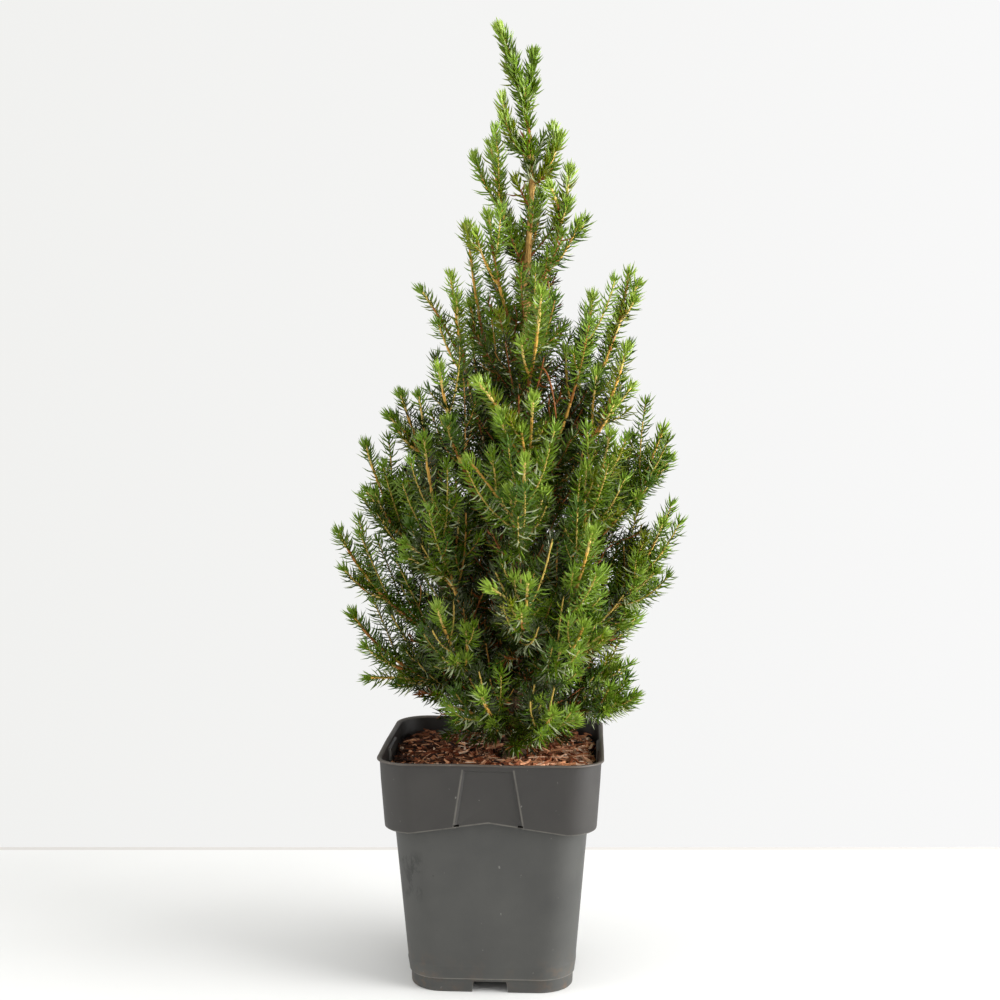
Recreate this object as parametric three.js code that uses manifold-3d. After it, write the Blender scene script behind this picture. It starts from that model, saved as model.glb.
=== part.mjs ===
// A dwarf Alberta spruce in a square nursery pot: pot, bark mulch, trunk, boughs and masses of needles.
// Millimetres, +Z up, front towards -Y, origin in the middle of the pot's flat underside.
import * as THREE from "three";
import Module from "manifold-3d";

const wasm = await Module();
wasm.setup();

// ---------- driving dimensions ----------

const GAP = 0.3; // between neighbouring solids

const POT = {
  height: 158,
  rimHalf: 75, // half the outside width over the lip
  lip: 1.4, // how far the lip stands proud of the collar
  lipDepth: 2.4,
  collarTopHalf: 73.5,
  collarFootHalf: 70.2,
  collarFoot: 110.6, // height of the collar's lower edge at the corners
  archRise: 7.6, // the lower edge rises to this in the middle of each face
  archHalf: 52,
  shoulderHalf: 64.2,
  footHalf: 54.4,
  band: 9, // height of the foot band
  bandStep: 0.5,
  bulge: 18, // the wall stands a little proud up to this height
  cornerRadius: 23,
  wall: 1.6,
  floor: 9.6,
};
const PANEL = { topHalf: 16.3, footHalf: 23.3, belowRim: 4, depth: 1.5, chamfer: 1.8 };
const NOTCH = { height: 7.4, topHalf: 10.8, footHalf: 12.2, depth: 25 };
const CORNER_STEPS = 4;
const POT_FACES = 4;

const MULCH = { top: 146, relief: 2.2, flatRadius: 18, rings: 3, seed: 7 };

const TRUNK = {
  footX: 13, // the stem stands a little off the pot's middle
  lean: 20,
  bow: 555, // how strongly the leader bends back
  bowFrom: 0.76,
  crownTop: 645,
  tip: 570, // the leading shoot's own mass goes on from here
  tipRadius: 1.3,
  footRadius: 5.9,
  flare: 3.2,
  flareHeight: 9,
  ridge: 0.14, // the flare's root ridges, as a share of its radius
  ridges: 3,
  flareTop: 168,
  flareStep: 5, // between rings in the flare, up the stem and along the bow
  stemStep: 42,
  bowStep: 11,
  sides: 10,
};

const CROWN_TURN = -2.8; // how far all the limbs are turned round the pot's middle, in degrees

// Limbs by the height of their foot on the trunk, their compass from +X, and their tip's reach and height.
// Forks are [share of the way out, compass, reach, height]. A carried limb has a bough under its mass.
const LIMBS = [
  { foot: 552, compass: -166, reach: 20, tip: 588, forks: [[0.35, -174, 20, 600]] },
  { foot: 535, compass: 2, reach: 20, tip: 574, forks: [[0.3, 30, 15, 582]] },
  { foot: 480, compass: -178, reach: 25, tip: 570 },
  { foot: 450, compass: 2, reach: 31, tip: 553, forks: [[0.6, -56, 27, 538]] },
  { foot: 425, compass: -140, reach: 29, tip: 522 },
  { foot: 385, compass: -73, reach: 66, tip: 467 },
  { foot: 365, compass: -176, reach: 36, tip: 517 },
  { foot: 318, compass: -158, reach: 47, tip: 482, carried: true, forks: [[0.6, -177, 70, 472]] },
  { foot: 318, compass: -20, reach: 56, tip: 468, carried: true },
  { foot: 330, compass: 8, reach: 77, tip: 485, carried: true, forks: [[0.7, 4, 84, 476]] },
  { foot: 310, compass: -13, reach: 78, tip: 433, forks: [[0.45, 6, 82, 406]] },
  { foot: 305, compass: -78, reach: 91, tip: 399, carried: true, forks: [[0.35, -106, 83, 410]] },
  { foot: 285, compass: -128, reach: 74, tip: 421, carried: true },
  { foot: 290, compass: -171, reach: 80, tip: 402, carried: true, forks: [[0.6, -170, 92, 386]] },
  { foot: 255, compass: 5, reach: 102, tip: 378, carried: true, forks: [[0.45, -16, 90, 331]] },
  { foot: 245, compass: -81, reach: 102, tip: 362, carried: true, forks: [[0.4, -106, 94, 361]] },
  { foot: 235, compass: -39, reach: 87, tip: 377, carried: true },
  {
    ...{ foot: 225, compass: -173, reach: 103, tip: 368, carried: true },
    forks: [[0.45, 168, 88, 334], [0.5, -168, 105, 336]],
  },
  {
    ...{ foot: 185, compass: -130, reach: 83, tip: 376, carried: true },
    forks: [[0.4, -138, 96, 303], [0.35, -148, 89, 291]],
  },
  { foot: 205, compass: -173, reach: 122, tip: 307, forks: [[0.5, -178, 111, 272]] },
  { foot: 178, compass: -172, reach: 113, tip: 250, forks: [[0.3, -175, 108, 200]] },
  { foot: 205, compass: 3, reach: 103, tip: 314, forks: [[0.5, 8, 107, 293], [0.3, -3, 102, 281]] },
  { foot: 205, compass: -55, reach: 101, tip: 316, forks: [[0.5, -50, 103, 283]] },
  { foot: 215, compass: -80, reach: 111, tip: 286, forks: [[0.6, -96, 111, 282]] },
  { foot: 195, compass: -58, reach: 101, tip: 255, forks: [[0.5, -41, 95, 247]] },
  { foot: 172, compass: -2, reach: 84, tip: 192, forks: [[0.4, -30, 76, 187]] },
  { foot: 162, compass: -68, reach: 91, tip: 197, forks: [[0.4, -48, 82, 188]] },
  { foot: 168, compass: -98, reach: 90, tip: 210, forks: [[0.3, -128, 76, 196]] },
  { foot: 182, compass: -117, reach: 93, tip: 266, forks: [[0.4, -112, 88, 229]] },
];

// The back of the crown in even tiers of limbs with the same measures. Each limb of a forked tier
// has one fork, which turns aside by turns to the left and the right and ends lower.
const BACK_TIERS = [
  { foot: 168, reach: 94, tip: 205, compasses: [42, 92, 144], forked: true },
  { foot: 195, reach: 106, tip: 275, compasses: [30, 78, 128], forked: true },
  { foot: 242, reach: 102, tip: 358, compasses: [42, 92, 142], forked: true, carried: true },
  { foot: 322, reach: 76, tip: 442, compasses: [52, 122], forked: true },
  { foot: 390, reach: 47, tip: 490, compasses: [92] },
  { foot: 455, reach: 26, tip: 545, compasses: [88] },
];
const BACK_FORK = { share: 0.42, turn: 17, reach: 1.02, drop: 0.3 };
const TIER_STAGGER = 8;

const LIMB = {
  out: 0.75, // how far out, and how far up, a limb's curve first heads
  up: 0.3,
  forkLead: 0.4, // share of a fork that first runs on along its limb
  boughShare: 0.42, // share of a carried limb that is its bough
  forkPastBough: 0.08,
  footRadius: 2.5,
  tipRadius: 1.5,
  boughStep: 14,
  sides: 6,
};

const SHOOT = {
  rootRadius: 1.35,
  forkRadius: 1.15,
  twigRadius: 0.92,
  tipRadius: 0.6,
  sides: 4,
  ringStep: 7.6, // between rings of needles
  bareStep: 16, // between rings of bare wood
  tipLength: 7,
  needleOut: 6.8,
  needleForward: 5.6,
  needleClear: 0.6,
  needleShrink: 0.8, // a needle that touches something shrinks in steps, down to the least
  needleLeast: 0.4,
};

// Share of a stem that is bare wood, by where the stem springs from.
const BARE = { onTrunk: 0.24, onBough: 0.04, onLimb: 0.12, onStem: 0.3, leader: 0.03 };

const TWIG = {
  every: 80, // millimetres of stem for each side twig
  first: 0.12, // along the dressed stretch of its stem
  last: 0.62,
  jitter: 0.6,
  turn: 137.5,
  lean: 32,
  least: 16,
  most: 37,
  share: 0.42, // of the dressed stretch, give or take the length jitter
  lengthJitter: 0.25,
  toBend: 0.55, // shares of its length: out to its bend, then further out and forwards
  outFromBend: 0.2,
  forwardFromBend: 0.3,
  riseFromBend: 0.38,
  clear: 8,
  testPoints: 14,
  testFrom: 3,
  seed: 11,
};

// Straight pieces that stand for stems and wood where distances are measured.
const PATH = { shootStep: 9, fewest: 3, trunkPieces: 24, boughPieces: 8 };
const CLEAR_OF_MULCH = 4;
const LEADER_BOW = 2;

// ---------- small helpers ----------

const degrees = THREE.MathUtils.degToRad;
const lerp = THREE.MathUtils.lerp;
const clamp = THREE.MathUtils.clamp;
const UP = new THREE.Vector3(0, 0, 1);

// Even draws between 0 and 1 that come out the same every time.
function draws(seed) {
  let state = seed;
  const next = () => {
    state = (1664525 * state + 1013904223) % 4294967296;
    return state / 4294967296;
  };
  next();
  next();
  return next;
}

function material(color, roughness) {
  return new THREE.MeshStandardMaterial({ color, roughness, metalness: 0 });
}

// A closed skin over rings of points that run anticlockwise round the way the rings advance.
// Each cap is a fan round a middle point, and the diagonals of the sides cross over from quad to quad.
function loft(rings, firstMiddle, lastMiddle) {
  const around = rings[0].length;
  const points = [...rings.flat(), firstMiddle, lastMiddle];
  const at = (ring, k) => ring * around + (k % around);
  const first = points.length - 2;
  const last = points.length - 1;
  const faces = [];
  for (let k = 0; k < around; k++) {
    faces.push(first, at(0, k + 1), at(0, k));
    faces.push(last, at(rings.length - 1, k), at(rings.length - 1, k + 1));
    for (let ring = 0; ring + 1 < rings.length; ring++) {
      const [a, b] = [at(ring, k), at(ring, k + 1)];
      const [c, d] = [at(ring + 1, k + 1), at(ring + 1, k)];
      if ((ring + k) % 2) faces.push(a, b, c, a, c, d);
      else faces.push(a, b, d, b, c, d);
    }
  }
  const geometry = new THREE.BufferGeometry().setFromPoints(points);
  geometry.setIndex(faces);
  return geometry;
}

function middleOf(ring) {
  const sum = new THREE.Vector3();
  ring.forEach((point) => sum.add(point));
  return sum.divideScalar(ring.length);
}

function cappedLoft(rings) {
  return loft(rings, middleOf(rings[0]), middleOf(rings[rings.length - 1]));
}

function solidOf(geometry) {
  return new wasm.Manifold(
    new wasm.Mesh({
      numProp: 3,
      vertProperties: new Float32Array(geometry.attributes.position.array),
      triVerts: new Uint32Array(geometry.index.array),
    }),
  );
}

function geometryOf(solid) {
  const mesh = solid.getMesh();
  const geometry = new THREE.BufferGeometry();
  geometry.setAttribute("position", new THREE.BufferAttribute(mesh.vertProperties, 3));
  geometry.setIndex(new THREE.BufferAttribute(mesh.triVerts, 1));
  return geometry;
}

// ---------- pot and mulch ----------

function archAt(x, y) {
  const along = Math.min(Math.abs(x), Math.abs(y));
  return POT.archRise * Math.max(0, 1 - along / POT.archHalf);
}

// A square with round corners and a point in the middle of each face.
function squareRing(half, radius, z) {
  const ring = [];
  const put = (x, y) => ring.push(new THREE.Vector3(x, y, z));
  for (let corner = 0; corner < POT_FACES; corner++) {
    const start = (corner * Math.PI) / 2;
    const [cx, cy] = [Math.cos(start + Math.PI / 4), Math.sin(start + Math.PI / 4)].map(
      (side) => Math.sign(side) * (half - radius),
    );
    for (let step = 0; step <= CORNER_STEPS; step++) {
      const angle = start + ((Math.PI / 2) * step) / CORNER_STEPS;
      put(cx + radius * Math.cos(angle), cy + radius * Math.sin(angle));
    }
    const face = start + Math.PI / 2;
    put(half * Math.cos(face), half * Math.sin(face));
  }
  return ring;
}

// The same ring along the rise of the collar's lower edge, on a wall whose half width changes with height.
function archedRing(halfAt, radius, z) {
  return squareRing(halfAt(z), radius, z).map((point, k) => {
    const height = z + archAt(point.x, point.y);
    return squareRing(halfAt(height), radius, height)[k];
  });
}

function collarHalfAt(z) {
  const share = (z - POT.collarFoot) / (POT.height - POT.collarFoot);
  return lerp(POT.collarFootHalf, POT.collarTopHalf, share);
}

function bodyHalfAt(z) {
  return lerp(POT.footHalf + POT.bandStep, POT.shoulderHalf, z / POT.collarFoot);
}

// A trapezoid prism on the front face: half widths and heights, at a depth behind the collar's face.
function collarTrapezoid(grow, depth, footZ, topZ) {
  const corner = (half, z) => new THREE.Vector3(half, depth - collarHalfAt(z), z);
  return [
    corner(-PANEL.footHalf - grow, footZ),
    corner(PANEL.footHalf + grow, footZ),
    corner(PANEL.topHalf + grow, topZ),
    corner(-PANEL.topHalf - grow, topZ),
  ];
}

function onEachFace(geometry) {
  return Array.from({ length: POT_FACES }, (_, face) =>
    solidOf(geometry.clone().rotateZ((face * Math.PI) / 2)),
  );
}

// The sunk panel of each face runs down to the collar's lower edge. Its wall bulges in behind it.
function panelCutters() {
  const top = POT.height - PANEL.belowRim;
  const foot = POT.collarFoot - POT.wall;
  const cutter = cappedLoft([
    collarTrapezoid(-PANEL.chamfer, PANEL.depth, foot, top - PANEL.chamfer),
    collarTrapezoid(0, 0, foot, top),
    collarTrapezoid(0, -POT.lip - 1, foot, top),
  ]);
  return onEachFace(cutter);
}

function panelBacks(grow) {
  const top = POT.height - PANEL.belowRim + grow;
  const foot = POT.collarFoot + POT.archRise / 2 - grow;
  const back = cappedLoft([
    collarTrapezoid(grow, PANEL.depth + POT.wall + grow, foot, top),
    collarTrapezoid(POT.wall + grow, POT.wall / 2, foot, top + POT.wall),
  ]);
  return onEachFace(back);
}

function notchCutters() {
  const [inner, outer] = [POT.footHalf - NOTCH.depth, POT.footHalf + POT.wall];
  const ring = (y) => [
    new THREE.Vector3(-NOTCH.footHalf, -y, -1),
    new THREE.Vector3(NOTCH.footHalf, -y, -1),
    new THREE.Vector3(NOTCH.topHalf, -y, NOTCH.height),
    new THREE.Vector3(-NOTCH.topHalf, -y, NOTCH.height),
  ];
  return onEachFace(cappedLoft([ring(inner), ring(outer)]));
}

function potGeometry() {
  const r = POT.cornerRadius;
  const inner = r - POT.wall;
  const { band, bandStep, bulge, wall, height, lipDepth, rimHalf, collarFoot } = POT;
  const ledge = collarFoot + wall;
  const rings = [
    squareRing(POT.footHalf, r, 0),
    squareRing(POT.footHalf + bandStep / 2, r, band),
    squareRing(bodyHalfAt(band) + bandStep / 2, r, band + bandStep),
    squareRing(bodyHalfAt(bulge) + bandStep / 2, r, bulge),
    archedRing(bodyHalfAt, r, collarFoot),
    archedRing((z) => collarHalfAt(z) - bandStep, r, collarFoot),
    archedRing(collarHalfAt, r, collarFoot + bandStep),
    squareRing(collarHalfAt(height - lipDepth), r, height - lipDepth),
    squareRing(rimHalf, r, height - lipDepth + bandStep),
    squareRing(rimHalf, r, height - bandStep),
    squareRing(rimHalf - bandStep, r, height),
    squareRing(rimHalf - POT.lip - wall / 2, inner, height),
    squareRing(collarHalfAt(height) - wall, inner, height - POT.lip),
    archedRing((z) => collarHalfAt(z) - wall, inner, ledge),
    archedRing((z) => bodyHalfAt(z) - wall, inner, ledge),
    squareRing(bodyHalfAt(POT.floor) - wall, inner, POT.floor),
  ];
  const shell = wasm.Manifold.union([solidOf(cappedLoft(rings)), ...panelBacks(0)]);
  const cutters = wasm.Manifold.union([...panelCutters(), ...notchCutters()]);
  return geometryOf(shell.subtract(cutters));
}

// Bark mulch fills the pot, uneven on top and flat where the stem stands in it.
function mulchGeometry() {
  const draw = draws(MULCH.seed);
  const inner = POT.cornerRadius - POT.wall - GAP;
  const ledge = POT.collarFoot + POT.wall + 2 * GAP;
  const inset = POT.wall + GAP;
  const rings = [
    squareRing(bodyHalfAt(POT.floor) - inset, inner, POT.floor + GAP),
    archedRing((z) => bodyHalfAt(z) - inset, inner, ledge),
    archedRing((z) => collarHalfAt(z) - inset, inner, ledge),
  ];
  const lowest = MULCH.top - 2 * MULCH.relief;
  const edge = squareRing(collarHalfAt(lowest) - inset, inner, MULCH.top);
  const foot = trunkCentre(MULCH.top);
  for (let ring = 0; ring <= MULCH.rings; ring++) {
    const share = ring / MULCH.rings;
    const relief = ring < MULCH.rings ? MULCH.relief : 0;
    rings.push(
      edge.map((point) => {
        const away = point.clone().sub(foot).setLength(MULCH.flatRadius).add(foot);
        const spot = point.clone().lerp(away, share);
        return spot.setZ(MULCH.top + relief * (draw() * 2 - 1.3));
      }),
    );
  }
  const backs = wasm.Manifold.union(panelBacks(GAP));
  return geometryOf(solidOf(cappedLoft(rings)).subtract(backs));
}

// ---------- trunk and limbs ----------

function trunkCentre(z) {
  const share = (z - MULCH.top) / (TRUNK.crownTop - MULCH.top);
  const bow = TRUNK.bow * Math.max(0, share - TRUNK.bowFrom) ** 2;
  return new THREE.Vector3(TRUNK.footX + TRUNK.lean * share ** 2 - bow, 0, z);
}

function trunkRadius(z) {
  const share = clamp((z - MULCH.top) / (TRUNK.tip - MULCH.top), 0, 1);
  const taper = lerp(TRUNK.footRadius, TRUNK.tipRadius, share);
  return taper + TRUNK.flare * Math.exp(-(z - MULCH.top) / TRUNK.flareHeight);
}

// Heights of the trunk's rings, closer where the foot flares and where the leader bows.
function trunkHeights() {
  const heights = [MULCH.top + GAP];
  const bowFoot = lerp(MULCH.top, TRUNK.crownTop, TRUNK.bowFrom) - TRUNK.bowStep;
  while (heights.at(-1) < TRUNK.tip - TRUNK.bowStep) {
    const z = heights.at(-1);
    if (z < TRUNK.flareTop) heights.push(z + TRUNK.flareStep);
    else heights.push(z + (z < bowFoot ? TRUNK.stemStep : TRUNK.bowStep));
  }
  return [...heights, TRUNK.tip];
}

// The trunk's flat cut stands on the mulch, and its foot spreads in three low root ridges.
function trunkGeometry() {
  const rings = trunkHeights().map((z) => {
    const ridge = TRUNK.ridge * Math.exp(-(z - MULCH.top) / TRUNK.flareHeight);
    return Array.from({ length: TRUNK.sides }, (_, k) => {
      const angle = (2 * Math.PI * k) / TRUNK.sides;
      const radius = trunkRadius(z) * (1 + ridge * Math.cos(TRUNK.ridges * angle));
      return new THREE.Vector3(Math.cos(angle), Math.sin(angle), 0)
        .multiplyScalar(radius)
        .add(trunkCentre(z));
    });
  });
  return cappedLoft(rings);
}

function tipOf(base, compass, reach, height) {
  const angle = degrees(compass + CROWN_TURN);
  return new THREE.Vector3(
    base.x + reach * Math.cos(angle),
    base.y + reach * Math.sin(angle),
    height,
  );
}

// A limb heads outwards from the middle of the trunk, then sweeps up to its tip.
function limbCurve({ foot, compass, reach, tip }) {
  const start = trunkCentre(foot);
  const end = tipOf(start, compass, reach, tip);
  const bend = start.clone().lerp(end, LIMB.out);
  bend.z = lerp(foot, tip, LIMB.up);
  return new THREE.QuadraticBezierCurve3(start, bend, end);
}

function forkCurve(parent, base, [share, compass, reach, height]) {
  const start = parent.getPoint(share);
  const end = tipOf(base, compass, reach, height);
  const lead = LIMB.forkLead * start.distanceTo(end);
  const bend = start.clone().addScaledVector(parent.getTangent(share), lead);
  return new THREE.QuadraticBezierCurve3(start, bend, end);
}

// Cross axes that turn as little as they can along a curve, one pair for each share.
function framesAlong(curve, shares) {
  const side = new THREE.Vector3(0, 0, 1);
  const first = curve.getTangent(shares[0]);
  side.cross(first).normalize();
  return shares.map((share) => {
    const tangent = curve.getTangent(share);
    side.addScaledVector(tangent, -side.dot(tangent)).normalize();
    const across = tangent.clone().cross(side);
    return { point: curve.getPoint(share), tangent, side: side.clone(), across };
  });
}

function radial({ side, across }, k, sides) {
  const angle = (2 * Math.PI * k) / sides;
  return side.clone().multiplyScalar(Math.cos(angle)).addScaledVector(across, Math.sin(angle));
}

function roundRing(frame, radius, sides) {
  return Array.from({ length: sides }, (_, k) =>
    frame.point.clone().addScaledVector(radial(frame, k, sides), radius),
  );
}

// Slides a point inside the trunk along a limb's way to the bark, plus the gap.
function landOnBark(start, way) {
  const landed = start.clone();
  for (let pass = 0; pass < 4; pass++) {
    const hull = trunkRadius(landed.z) + GAP;
    const off = start.clone().sub(trunkCentre(landed.z));
    const a = way.x ** 2 + way.y ** 2;
    const b = off.x * way.x + off.y * way.y;
    const c = off.x ** 2 + off.y ** 2 - hull ** 2;
    landed.copy(start).addScaledVector(way, (Math.sqrt(b * b - a * c) - b) / a);
  }
  return landed;
}

function collarRing(frame, radius, sides) {
  return roundRing(frame, radius, sides).map((point) => landOnBark(point, frame.tangent));
}

// The share of a limb's curve at which it is well clear of the trunk.
function leavesTrunkAt(curve, foot, radius) {
  const way = curve.getTangent(0);
  const level = Math.hypot(way.x, way.y);
  const distance = (trunkRadius(foot) + GAP + radius) / level + radius;
  return distance / curve.getLength();
}

function boughGeometry(limb) {
  const { curve, foot } = limb;
  const clearAt = leavesTrunkAt(curve, foot, LIMB.footRadius);
  const length = curve.getLength() * (LIMB.boughShare - clearAt);
  const steps = Math.max(2, Math.round(length / LIMB.boughStep));
  const shares = [0];
  for (let step = 0; step <= steps; step++) {
    shares.push(lerp(clearAt, LIMB.boughShare, step / steps));
  }
  const frames = framesAlong(curve, shares);
  const rings = frames.map((frame, ring) => {
    if (ring === 0) return collarRing(frame, LIMB.footRadius, LIMB.sides);
    const radius = lerp(LIMB.footRadius, LIMB.tipRadius, shares[ring] / LIMB.boughShare);
    return roundRing(frame, radius, LIMB.sides);
  });
  const root = landOnBark(frames[0].point, frames[0].tangent);
  return loft(rings, root, middleOf(rings[rings.length - 1]));
}

// ---------- masses of needles ----------

// A stem or twig of a mass, with the path that stands for it in distance tests. It is in use from
// its share `from` on, bare up to `bareTo`, and has a `foot` height where it springs from the trunk.
function newShoot({ from = 0, ...rest }) {
  const length = rest.curve.getLength();
  const pieces = Math.max(PATH.fewest, Math.round(length / PATH.shootStep));
  const path = pathAlong(rest.curve, from, 1, pieces);
  return { from, ...rest, length, path };
}

function pathAlong(curve, from, to, pieces) {
  return Array.from({ length: pieces + 1 }, (_, k) => curve.getPoint(lerp(from, to, k / pieces)));
}

const piece = new THREE.Line3();
const nearest = new THREE.Vector3();

function distanceToPath(point, path) {
  let least = Infinity;
  for (let k = 0; k + 1 < path.length; k++) {
    piece.set(path[k], path[k + 1]).closestPointToPoint(point, true, nearest);
    least = Math.min(least, nearest.distanceTo(point));
  }
  return least;
}

// Whether a point keeps the room it asks for from every other stem, and off the wood of trunk and boughs.
function isFree(point, self, room, { shoots, wood }, kinToo = true) {
  if (point.z < MULCH.top + CLEAR_OF_MULCH) return false;
  for (const { path, radius } of wood) {
    if (distanceToPath(point, path) < Math.max(radius + SHOOT.needleClear, room)) return false;
  }
  for (const other of shoots) {
    if (other === self || (!kinToo && other.owner === self.owner)) continue;
    const middle = other.path[other.path.length >> 1];
    if (point.distanceTo(middle) > room + other.length) continue;
    if (distanceToPath(point, other.path) < room) return false;
  }
  return true;
}

// Side twigs stand round a stem in a steady turn, head forward and out, and curve back along the stem.
function sideTwigs(stem, draw) {
  const dressed = stem.length * (1 - stem.bareTo);
  const count = Math.round(dressed / TWIG.every);
  const lean = degrees(TWIG.lean);
  const turn = draw() * 360;
  return Array.from({ length: count }, (_, k) => {
    const along = lerp(TWIG.first, TWIG.last, (k + draw() * TWIG.jitter) / count);
    const [frame] = framesAlong(stem.curve, [lerp(stem.bareTo, 1, along)]);
    const aside = radial(frame, (turn + TWIG.turn * k) / 360, 1);
    const wanted = dressed * TWIG.share * (1 + TWIG.lengthJitter * (2 * draw() - 1));
    const length = clamp(wanted, TWIG.least, TWIG.most);
    const way = frame.tangent
      .clone()
      .multiplyScalar(Math.cos(lean))
      .addScaledVector(aside, Math.sin(lean));
    const bend = frame.point.clone().addScaledVector(way, length * TWIG.toBend);
    const end = bend
      .clone()
      .addScaledVector(way, length * TWIG.outFromBend)
      .addScaledVector(frame.tangent, length * TWIG.forwardFromBend)
      .addScaledVector(UP, length * TWIG.riseFromBend);
    const curve = new THREE.QuadraticBezierCurve3(frame.point, bend, end);
    return newShoot({ curve, owner: stem.owner, bareTo: BARE.onStem, radius: SHOOT.twigRadius });
  });
}

function stepsAlong(from, to, length, step) {
  const count = Math.max(1, Math.round(((to - from) * length) / step));
  return Array.from({ length: count }, (_, k) => lerp(from, to, k / count));
}

// The tip of a needle from one point of a ring, or nothing where there is no room for it.
function needleTip(shoot, frame, out, crown) {
  for (let size = 1; size > SHOOT.needleLeast; size *= SHOOT.needleShrink) {
    const tip = frame.point
      .clone()
      .addScaledVector(out, SHOOT.needleOut * size)
      .addScaledVector(frame.tangent, SHOOT.needleForward * size);
    const room = SHOOT.needleOut * size + SHOOT.needleClear;
    if (isFree(tip, shoot, room, crown)) return tip;
  }
  return null;
}

// A slim core whose ring points are drawn out in turn into forward-swept needles.
function shootGeometry(shoot, crown) {
  const { curve, from, bareTo, length, foot } = shoot;
  const end = 1 - SHOOT.tipLength / length;
  const bare = stepsAlong(from, bareTo, length, SHOOT.bareStep);
  const dressed = stepsAlong(bareTo, end, length, SHOOT.ringStep);
  const shares = [...bare, ...dressed, end];
  const frames = framesAlong(curve, shares);
  const rings = frames.map((frame, ring) => {
    const core = lerp(shoot.radius, SHOOT.tipRadius, shares[ring]);
    if (ring === 0 && foot) return collarRing(frame, core, SHOOT.sides);
    return roundRing(frame, core, SHOOT.sides).map((point, k) => {
      if ((ring + k) % 2 || shares[ring] < bareTo) return point;
      return needleTip(shoot, frame, radial(frame, k, SHOOT.sides), crown) ?? point;
    });
  });
  const root = foot ? landOnBark(frames[0].point, frames[0].tangent) : frames[0].point;
  return loft(rings, root, curve.getPoint(1));
}

// Fusing can seal a hollow or leave a scrap: the one large skin is kept, without them.
function massGeometry(owner, crown) {
  const own = crown.shoots.filter((shoot) => shoot.owner === owner);
  const solids = own.map((shoot) => solidOf(shootGeometry(shoot, crown)));
  const skins = wasm.Manifold.union(solids).decompose();
  skins.sort((a, b) => b.volume() - a.volume());
  return geometryOf(skins[0]);
}

// ---------- the plant's layout ----------

const SIDES = ["right", "back_right", "back", "back_left", "left", "front_left", "front", "front_right"];

function backLimbs() {
  return BACK_TIERS.flatMap(({ compasses, forked, ...tier }) =>
    compasses.map((compass, k) => {
      const foot = tier.foot + k * TIER_STAGGER;
      const turned = compass + (k % 2 ? -1 : 1) * BACK_FORK.turn;
      const height = lerp(tier.tip, foot, BACK_FORK.drop);
      const fork = [BACK_FORK.share, turned, tier.reach * BACK_FORK.reach, height];
      return { ...tier, compass, foot, forks: forked ? [fork] : [] };
    }),
  );
}

// Every limb with its curve and its name: its side of the plant, numbered from the lowest tip up.
function layOut() {
  const tally = {};
  return [...LIMBS, ...backLimbs()]
    .sort((a, b) => a.tip - b.tip)
    .map((limb) => {
      const side = SIDES[(Math.round(limb.compass / 45) + 8) % 8];
      tally[side] = (tally[side] ?? 0) + 1;
      return { ...limb, name: `${side}_${tally[side]}`, curve: limbCurve(limb) };
    });
}

// The stems of a limb's mass: its own leading stem, then one to each fork.
function stemsOf({ curve, name: owner, foot, carried, forks = [] }) {
  const radius = SHOOT.rootRadius;
  const from = LIMB.boughShare + GAP / curve.getLength();
  const leading = carried
    ? newShoot({ curve, owner, from, bareTo: from + BARE.onBough, radius })
    : newShoot({ curve, owner, foot, bareTo: BARE.onTrunk, radius });
  const rest = forks.map(([share, ...end]) => {
    const start = Math.max(share, leading.from + LIMB.forkPastBough);
    const branch = forkCurve(curve, trunkCentre(foot), [start, ...end]);
    return newShoot({ curve: branch, owner, bareTo: BARE.onLimb, radius: SHOOT.forkRadius });
  });
  return [leading, ...rest];
}

// The leading shoot goes on from the trunk's tip to the top of the crown.
function leaderStem() {
  const start = trunkCentre(TRUNK.tip + GAP);
  const end = trunkCentre(TRUNK.crownTop);
  const bend = trunkCentre(lerp(TRUNK.tip, TRUNK.crownTop, 0.5));
  bend.x += LEADER_BOW;
  const curve = new THREE.QuadraticBezierCurve3(start, bend, end);
  return newShoot({ curve, owner: "leader", bareTo: BARE.leader, radius: TRUNK.tipRadius });
}

// The trunk in short pieces and each bough: the wood that twigs and needles keep off.
function woodOf(boughs) {
  const joints = Array.from({ length: PATH.trunkPieces + 1 }, (_, k) =>
    trunkCentre(lerp(MULCH.top, TRUNK.tip, k / PATH.trunkPieces)),
  );
  const stem = joints.slice(1).map((joint, k) => ({
    path: [joints[k], joint],
    radius: trunkRadius(joints[k].z),
  }));
  const limbWood = boughs.map(({ curve }) => ({
    path: pathAlong(curve, 0, LIMB.boughShare, PATH.boughPieces),
    radius: LIMB.footRadius,
  }));
  return [...stem, ...limbWood];
}

// The whole crown: its wood, and the shoots of every mass. A side twig that lacks room is left out.
function growCrown(limbs, boughs) {
  const wood = woodOf(boughs);
  const stems = [leaderStem(), ...limbs.flatMap(stemsOf)];
  const crown = { wood, shoots: [...stems] };
  const draw = draws(TWIG.seed);
  for (const stem of stems) {
    for (const twig of sideTwigs(stem, draw)) {
      const outer = twig.curve.getPoints(TWIG.testPoints).slice(TWIG.testFrom);
      if (outer.every((point) => isFree(point, twig, TWIG.clear, crown, false))) {
        crown.shoots.push(twig);
      }
    }
  }
  return crown;
}

// ---------- assembly ----------

const POT_PLASTIC = [0x51524f, 0.62];
const MULCH_BARK = [0x5a3b2b, 0.95];
const WOOD_BARK = [0x8c6a44, 0.85];
const NEEDLES = [0x4d6b2b, 0.7];

const tree = new THREE.Group();

function add(name, geometry, [color, roughness]) {
  geometry.computeVertexNormals();
  const mesh = new THREE.Mesh(geometry, material(color, roughness));
  mesh.name = name;
  tree.add(mesh);
}

const limbs = layOut();
const boughs = limbs.filter(({ carried }) => carried);
const crown = growCrown(limbs, boughs);

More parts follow.
